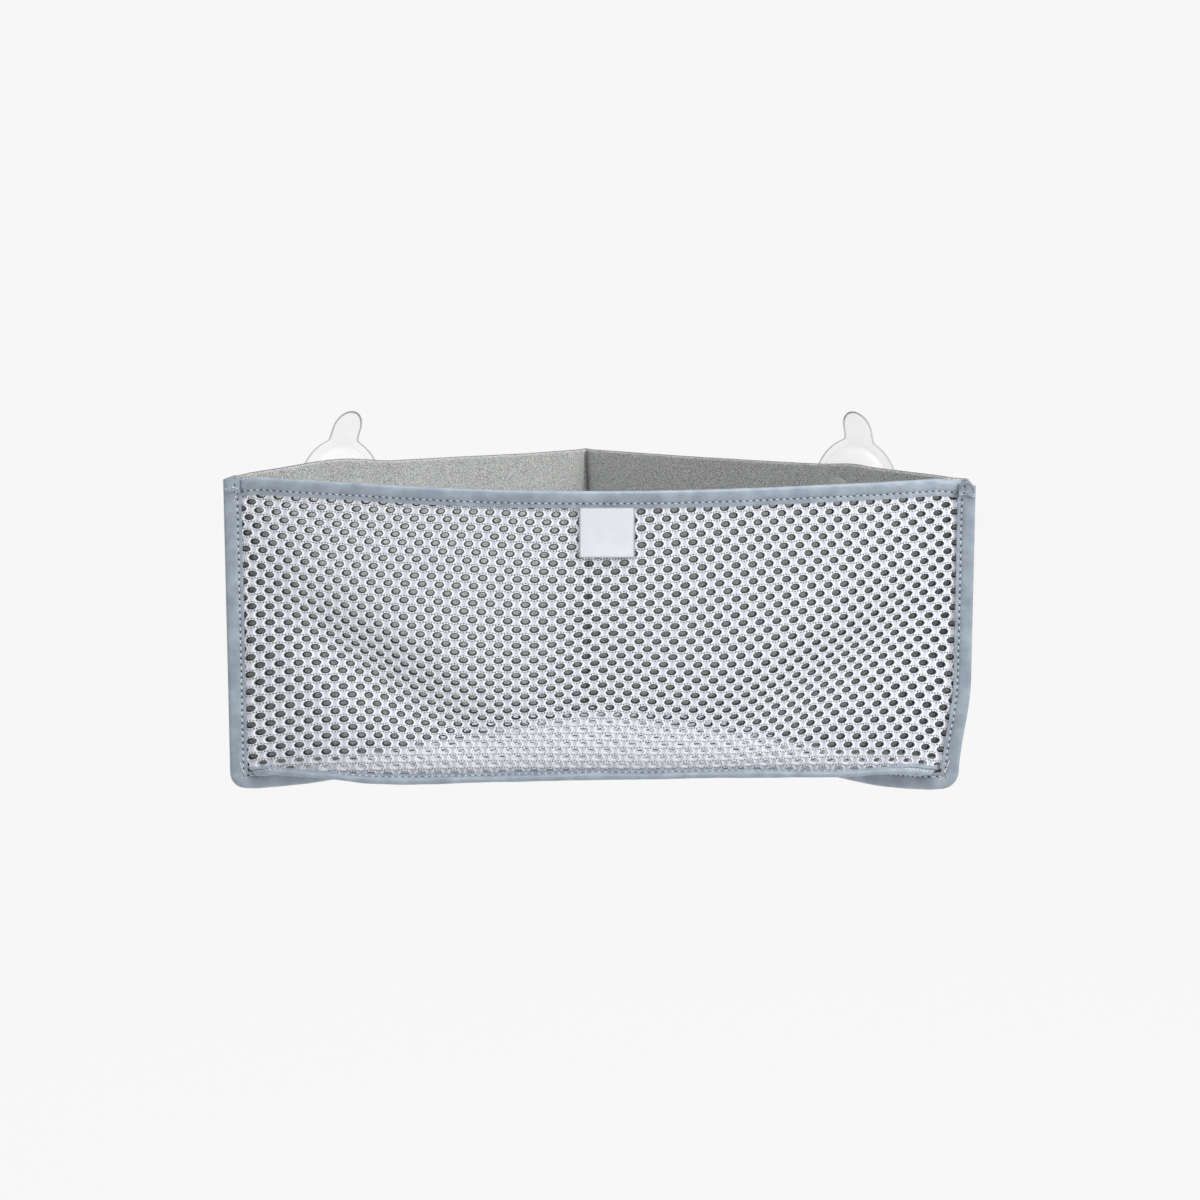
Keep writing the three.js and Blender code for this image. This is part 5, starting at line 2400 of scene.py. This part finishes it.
@dataclass(frozen=True)
class LabelPatch:
    """Blank cloth patch under the top tape, held by a fine seam at its left and foot."""

    form: BasketForm
    cloth: bpy.types.Material
    thread: bpy.types.Material
    middle: float = 3.9
    top_inset: float = 7.4
    standoff: float = 1.5
    thickness: float = 0.45
    lift: float = 0.5
    lift_span: Pair = (0.7, 0.3)
    steps: int = 22
    margin: float = 1.1
    stitch_pitch: float = 1.9
    stitch: Thread = Thread(length=1.2, radius=0.1, rise=0.05, dive=0.15, rings=4, sides=5)

    def place(self, across: Array, down: Array, depth: Array) -> Array:
        """A place of the patch, from its upper left corner; its lower edge lifts a little.

        Args:
            across: Distance from the left edge.
            down: Distance from the upper edge.
            depth: Distance behind the patch's back face.

        Returns:
            The places.
        """
        width, height = LABEL_SIZE
        start, span = (share * height for share in self.lift_span)
        lift = self.lift * smooth((down - start) / span)
        x = self.middle - width / 2 + across
        return self.form.from_top(x, self.top_inset + down, depth - self.standoff - lift)

    def build(self) -> None:
        """Makes the patch and its seam."""
        width, height = LABEL_SIZE
        across = np.linspace(0.0, width, self.steps)
        down = np.linspace(0.0, height, self.steps)
        a, d = np.meshgrid(across, down, indexing="ij")
        front = self.place(a, d, np.full(a.shape, -self.thickness))
        back = self.place(a, d, np.zeros(a.shape))
        piece = mesh_object("label_patch_cloth", slab(front, back, (across, down)), self.cloth)
        ride(piece, Body.BASKET, Slot.LABEL_CLOTH, "label_patch")
        lay_thread("label_patch", self._seam(), self.thread)

    def _seam(self) -> Shell:
        """Fine stitches along the foot and down the left edge.

        Returns:
            Both rows as one shell.
        """
        width, height = LABEL_SIZE
        rows = (
            (self.place, width, height - self.margin),
            (swapped(self.place), height, self.margin),
        )
        shells = []
        for place, length, inset in rows:
            along = np.arange(self.margin, length - self.margin, self.stitch_pitch)
            insets = np.full((along.size, 2), inset)
            depths = np.full(along.size, -self.thickness)
            shells.append(self.stitch.stitches(place, along, insets, depths).facing_out())
        return Shell.joined(shells)


@dataclass(frozen=True)
class SuctionCup:
    """A clear cup: round head inside the basket, neck, collar, bell, flat rim and lift tab.

    Its rings lie round an axis square to the wall. The outermost rings follow a round
    outline that runs smoothly into the tab, and the tab leans away from the wall.
    """

    form: BasketForm
    side: Side
    material: bpy.types.Material
    depth: float = 13.0
    rim_radius: float = 26.9
    flange_radius: float = 20.9
    rim_thickness: float = 1.2
    rim_bevel: float = 0.05
    bell_thickness: float = 1.6
    dome_rise: float = 6.0
    neck_radius: float = 4.0
    head_radius: float = 7.5
    head_height: float = 4.0
    head_edge: float = 1.4
    head_bevel: Pair = (0.4, 0.3)
    collar_radius: float = 8.0
    collar_thickness: float = 2.2
    clearance: float = 0.3
    tab_tip: float = 40.6
    tab_half_width: float = 8.8
    tab_turn: float = 5.0
    tab_tilt: float = 24.0
    tab_blend: float = 2.0
    tab_root: float = 4.0
    tab_ease: float = 4.0
    tab_fade: float = 6.0
    angle_spans: tuple[tuple[float, float, int], ...] = (
        (0.0, 10.0, 7), (10.0, 27.0, 16), (27.0, 180.0, 31),
    )
    round_steps: int = 7
    search_margin: Pair = (6.0, 2.0)
    search_steps: int = 700
    far: float = 1000.0
    crease: float = 60.0

    def build(self) -> None:
        """Makes the cup, which rides on its own body."""
        name = f"{self.side.word}_suction_cup"
        piece = mesh_object(f"{name}_vinyl", self.shell(), self.material, self.crease)
        body = Body.LEFT_CUP if self.side is Side.LEFT else Body.RIGHT_CUP
        ride(piece, body, Slot.CLEAR_VINYL, name)

    def _angles(self) -> Array:
        """Angles round the cup from the tab's middle, closer together beside the tab.

        Returns:
            The angles in radians.
        """
        spans = [np.linspace(*span) for span in self.angle_spans]
        half = np.concatenate([*(span[:-1] for span in spans[:-1]), spans[-1]])
        return np.radians(np.concatenate([half, 360.0 - half[-2:0:-1]]))

    def _outline(self, angles: Array) -> Array:
        """Outermost radius at each angle.

        The outline is where a smooth least of two distances is 0: the distance to the rim's
        circle, and the distance to a round-ended bar from the middle to the tab's tip.

        Args:
            angles: Angles from the tab's middle.

        Returns:
            The radii.
        """
        less, more = self.search_margin
        radii = np.linspace(self.rim_radius - less, self.tab_tip + more, self.search_steps)
        a, r = np.meshgrid(angles, radii, indexing="ij")
        side, up = np.abs(r * np.sin(a)), r * np.cos(a)
        to_circle = r - self.rim_radius
        over = np.maximum(up - (self.tab_tip - self.tab_half_width), 0.0)
        to_bar = np.where(up > 0.0, np.hypot(side, over), self.far) - self.tab_half_width
        mix = np.clip(0.5 + 0.5 * (to_bar - to_circle) / self.tab_blend, 0.0, 1.0)
        least = blend(to_bar, to_circle, mix) - self.tab_blend * mix * (1.0 - mix)
        inside = least < 0.0
        return radii[inside.shape[1] - 1 - np.argmax(inside[:, ::-1], axis=1)]

    def _profile(self) -> tuple[Array, Array, Array, Array]:
        """Rings from the head's middle to the cup's hollow.

        Returns:
            Radius, height off the panel's inner face, how much each ring follows the
            outline with the tab, and how solid it looks, which also sets its painted rim shade.
        """
        quarter = np.linspace(0.0, math.pi / 2, self.round_steps + 1)
        sine, rise = np.sin(quarter), 1.0 - np.cos(quarter)
        inner = -self.clearance
        collar = self.form.outer_face - self.form.inner_face + self.clearance
        bell = collar + self.collar_thickness
        back = self.depth - self.rim_thickness
        edge = self.flange_radius + self.bell_thickness
        low, high = inner - self.head_height, inner - self.head_edge
        narrower, lower = self.head_bevel
        head = [
            (self.head_radius * s, low + (high - low) * h, 0.0, 0.02)
            for s, h in zip(sine[1:], rise[1:])
        ]
        neck = [
            (self.head_radius, inner - lower, 0.0, 0.08),
            (self.head_radius - narrower, inner, 0.0, 0.08),
            (self.neck_radius, inner, 0.0, 0.1),
            (self.neck_radius, collar, 0.0, 0.2),
            (self.collar_radius, collar, 0.0, 0.3),
        ]
        outside = [
            (blend(self.collar_radius, edge, s), bell + (back - bell) * h, 0.0, 0.08)
            for s, h in zip(sine, rise)
        ]
        rim = [
            (0.35, back, 0.0), (0.75, back, 0.0), (0.93, back, 0.0),
            (0.985, back + self.rim_bevel, 1.0), (1.0, back + self.rim_thickness / 2, 0.4),
            (0.985, self.depth - self.rim_bevel, 1.0), (0.93, self.depth, 0.0),
            (0.5, self.depth, 0.0),
        ]
        followed = [(share, height, share, solid) for share, height, solid in rim]
        dome = self.depth - self.dome_rise
        hollow = [
            (self.flange_radius * s, dome + self.dome_rise * h, 0.0, 0.03)
            for s, h in zip(sine[:0:-1], rise[:0:-1])
        ]
        return tuple(np.array(head + neck + outside + followed + hollow).T)

    def shell(self) -> Shell:
        """The cup's closed shell, with the mark solid for its finish.

        Returns:
            The shell.
        """
        angles = self._angles()
        radius, height, follow, solid = self._profile()
        edge = self.flange_radius + self.bell_thickness
        ring = np.where(follow > 0.0, edge, radius)[:, None]
        r = ring + follow[:, None] * (self._outline(angles) - edge)[None, :]
        side, up = r * np.sin(angles), r * np.cos(angles)
        lean = np.maximum(up - (self.rim_radius - self.tab_root), 0.0)
        on_tab = 1.0 - smooth((np.abs(side) - self.tab_half_width) / self.tab_fade)
        eased = lean**2 / (lean + self.tab_ease)
        out = height[:, None] - eased * math.tan(math.radians(self.tab_tilt)) * on_tab
        ends = np.array([-self.clearance - self.head_height, self.depth - self.dome_rise])
        poles = self._in_frame(np.zeros(2), ends, np.zeros(2))
        return self._capped(self._in_frame(side, out, up), poles, solid)

    def _in_frame(self, side: Array, out: Array, up: Array) -> Array:
        """Places from a cup's own directions: sideways, out towards the wall, and up.

        Args:
            side: Distance sideways.
            out: Distance from the panel's inner face towards the wall.
            up: Distance from the cup's middle towards the tab.

        Returns:
            Places, with the tab turned a little to the right about the cup's own axis.
        """
        face = np.array(self.form.inner_face)
        centre = self.form.wrap(self.side, np.array(CUP_REACH), np.array(0.0), face)
        outwards = np.array([self.side.value, 1.0, 0.0]) * DIAGONAL
        along = np.array([1.0, -self.side.value, 0.0]) * DIAGONAL
        turn = math.radians(self.tab_turn)
        upwards = np.array([0.0, 0.0, 1.0]) * math.cos(turn) + along * math.sin(turn)
        across = np.cross(outwards, upwards)
        parts = (side[..., None] * across, out[..., None] * outwards)
        return centre + sum(parts) + up[..., None] * upwards

    @staticmethod
    def _capped(points: Array, poles: Array, solid: Array) -> Shell:
        """Joins the rings, and closes both ends with a fan round a pole.

        Args:
            points: Points of the rings, rings by points by 3.
            poles: The two poles, at the head and in the hollow.
            solid: How solid each ring looks.

        Returns:
            The closed shell.
        """
        rings, size, _ = points.shape
        count = rings * size
        first = np.arange(size)
        last = first + (rings - 1) * size
        fans = [
            np.stack([np.full(size, count), np.roll(first, -1), first], axis=-1),
            np.stack([np.full(size, count + 1), last, np.roll(last, -1)], axis=-1),
        ]
        return Shell(
            points=np.concatenate([points.reshape(-1, 3), poles]),
            faces=[grid_faces(rings, size, closed=True), *fans],
            coords=[
                grid_coords(np.arange(rings) * 1.0, np.arange(size + 1) * 1.0),
                np.zeros((size, 3, 2)), np.zeros((size, 3, 2)),
            ],
            marks={"solid": np.append(np.repeat(solid, size), np.zeros(len(poles)))},
        )


# ---------------------------------------------------------------- scene


@dataclass(frozen=True)
class Lamp:
    """A square lamp turned to the basket. Its place and size are metres, its power watts."""

    name: str
    place: tuple[float, float, float]
    size: float
    power: float
    aim: tuple[float, float, float] = (0.0, -0.1, -0.05)

    def build(self) -> None:
        """Makes the lamp."""
        data = bpy.data.lights.new(self.name, "AREA")
        data.size, data.energy = self.size, self.power
        lamp = bpy.data.objects.new(self.name, data)
        towards = np.array(self.aim) - np.array(self.place)
        towards = towards / np.linalg.norm(towards)
        turn = math.atan2(towards[1], towards[0]) - math.pi / 2
        lamp.location = self.place
        lamp.rotation_euler = (math.acos(-towards[2]), 0.0, turn)
        bpy.context.scene.collection.objects.link(lamp)


@dataclass(frozen=True)
class Studio:
    """Camera, lamps, world and ground. The key stands right and in front of the basket."""

    focus: tuple[float, float, float] = (0.735, -172.36, -47.148)
    distance: float = 1108.74
    azimuth: float = -0.28
    elevation: float = 8.371
    lens: float = 69.0
    sensor: float = 36.0
    view_end: float = 50.0
    lamps: tuple[Lamp, ...] = (
        Lamp("key", (1.5, -1.1, 0.9), 1.0, 25.0),
        Lamp("fill", (-1.5, -1.2, 0.4), 1.4, 4.0),
        Lamp("overhead", (0.2, -0.4, 1.7), 1.2, 25.0),
    )
    ground_z: float = -0.62
    ground_half: float = 6.0
    backdrop: Colour = (0.93, 0.93, 0.93)
    ambient: float = 0.5

    def camera(self) -> None:
        """Places the camera on its ray from the focus, looking back along it."""
        azimuth, elevation = math.radians(self.azimuth), math.radians(self.elevation)
        level = math.cos(elevation)
        back = (math.sin(azimuth) * level, -math.cos(azimuth) * level, math.sin(elevation))
        place = np.array(self.focus) + np.array(back) * self.distance
        data = bpy.data.cameras.new("camera")
        data.lens, data.sensor_width, data.clip_end = self.lens, self.sensor, self.view_end
        camera = bpy.data.objects.new("camera", data)
        camera.location = place * METRES_PER_MILLIMETRE
        camera.rotation_euler = (math.pi / 2 - elevation, 0.0, azimuth)
        bpy.context.scene.collection.objects.link(camera)
        bpy.context.scene.camera = camera

    def world(self) -> None:
        """Even light all round, in whose place the camera sees the pale backdrop."""
        graph = Graph(bpy.data.worlds.new("studio"))
        bpy.context.scene.world = graph.owner
        seen = graph.seen_by("Is Camera Ray", "Is Transmission Ray")
        backdrop = graph.nodes["Background"]
        graph.connect(backdrop.inputs["Color"], self.backdrop)
        sockets = {"Color": (1.0, 1.0, 1.0), "Strength": self.ambient}
        graph.part_shaders(seen, graph.add("ShaderNodeBackground", {}, sockets), backdrop)

    def ground(self) -> None:
        """The plain ground, far below the hanging basket."""
        half = self.ground_half / METRES_PER_MILLIMETRE
        z = self.ground_z / METRES_PER_MILLIMETRE
        corners = [(-half, -half, z), (half, -half, z), (half, half, z), (-half, half, z)]
        shell = Shell(np.array(corners), [np.array([[0, 1, 2, 3]])], [np.zeros((1, 4, 2))])
        mesh_object("ground", shell, FloorFinish().material())

    def build(self) -> None:
        """Sets up everything round the object, camera first."""
        self.camera()
        for lamp in self.lamps:
            lamp.build()
        self.world()
        self.ground()
        bpy.context.scene.view_settings.view_transform = "Standard"


def main() -> None:
    """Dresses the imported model: camera first, then cloth, tape, label and cups."""
    logging.basicConfig(level=logging.INFO, format="%(name)s %(message)s")
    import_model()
    Studio().build()
    form = BasketForm()
    tape = TapeFinish().material()
    # The lower tape's stitch row carries painted shade, for the shadow in its groove, and wider
    # needle holes.
    low_tape = TapeFinish(
        name="grey-blue satin tape, tightly sewn", hole_radius=1.0, row_shade=0.55
    ).material()
    thread = ThreadFinish().material()
    Nets(form, AirMeshFinish().material()).build()
    Bindings(form, tape, low_tape, thread).build()
    neoprene = NeopreneFinish().material()
    vinyl = ClearVinylFinish().material()
    for side in Side:
        BackPanel(form, side, neoprene).build()
        SuctionCup(form, side, vinyl).build()
    LabelPatch(form, LabelFinish().material(), thread).build()
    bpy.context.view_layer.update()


if __name__ == "__main__":
    main()
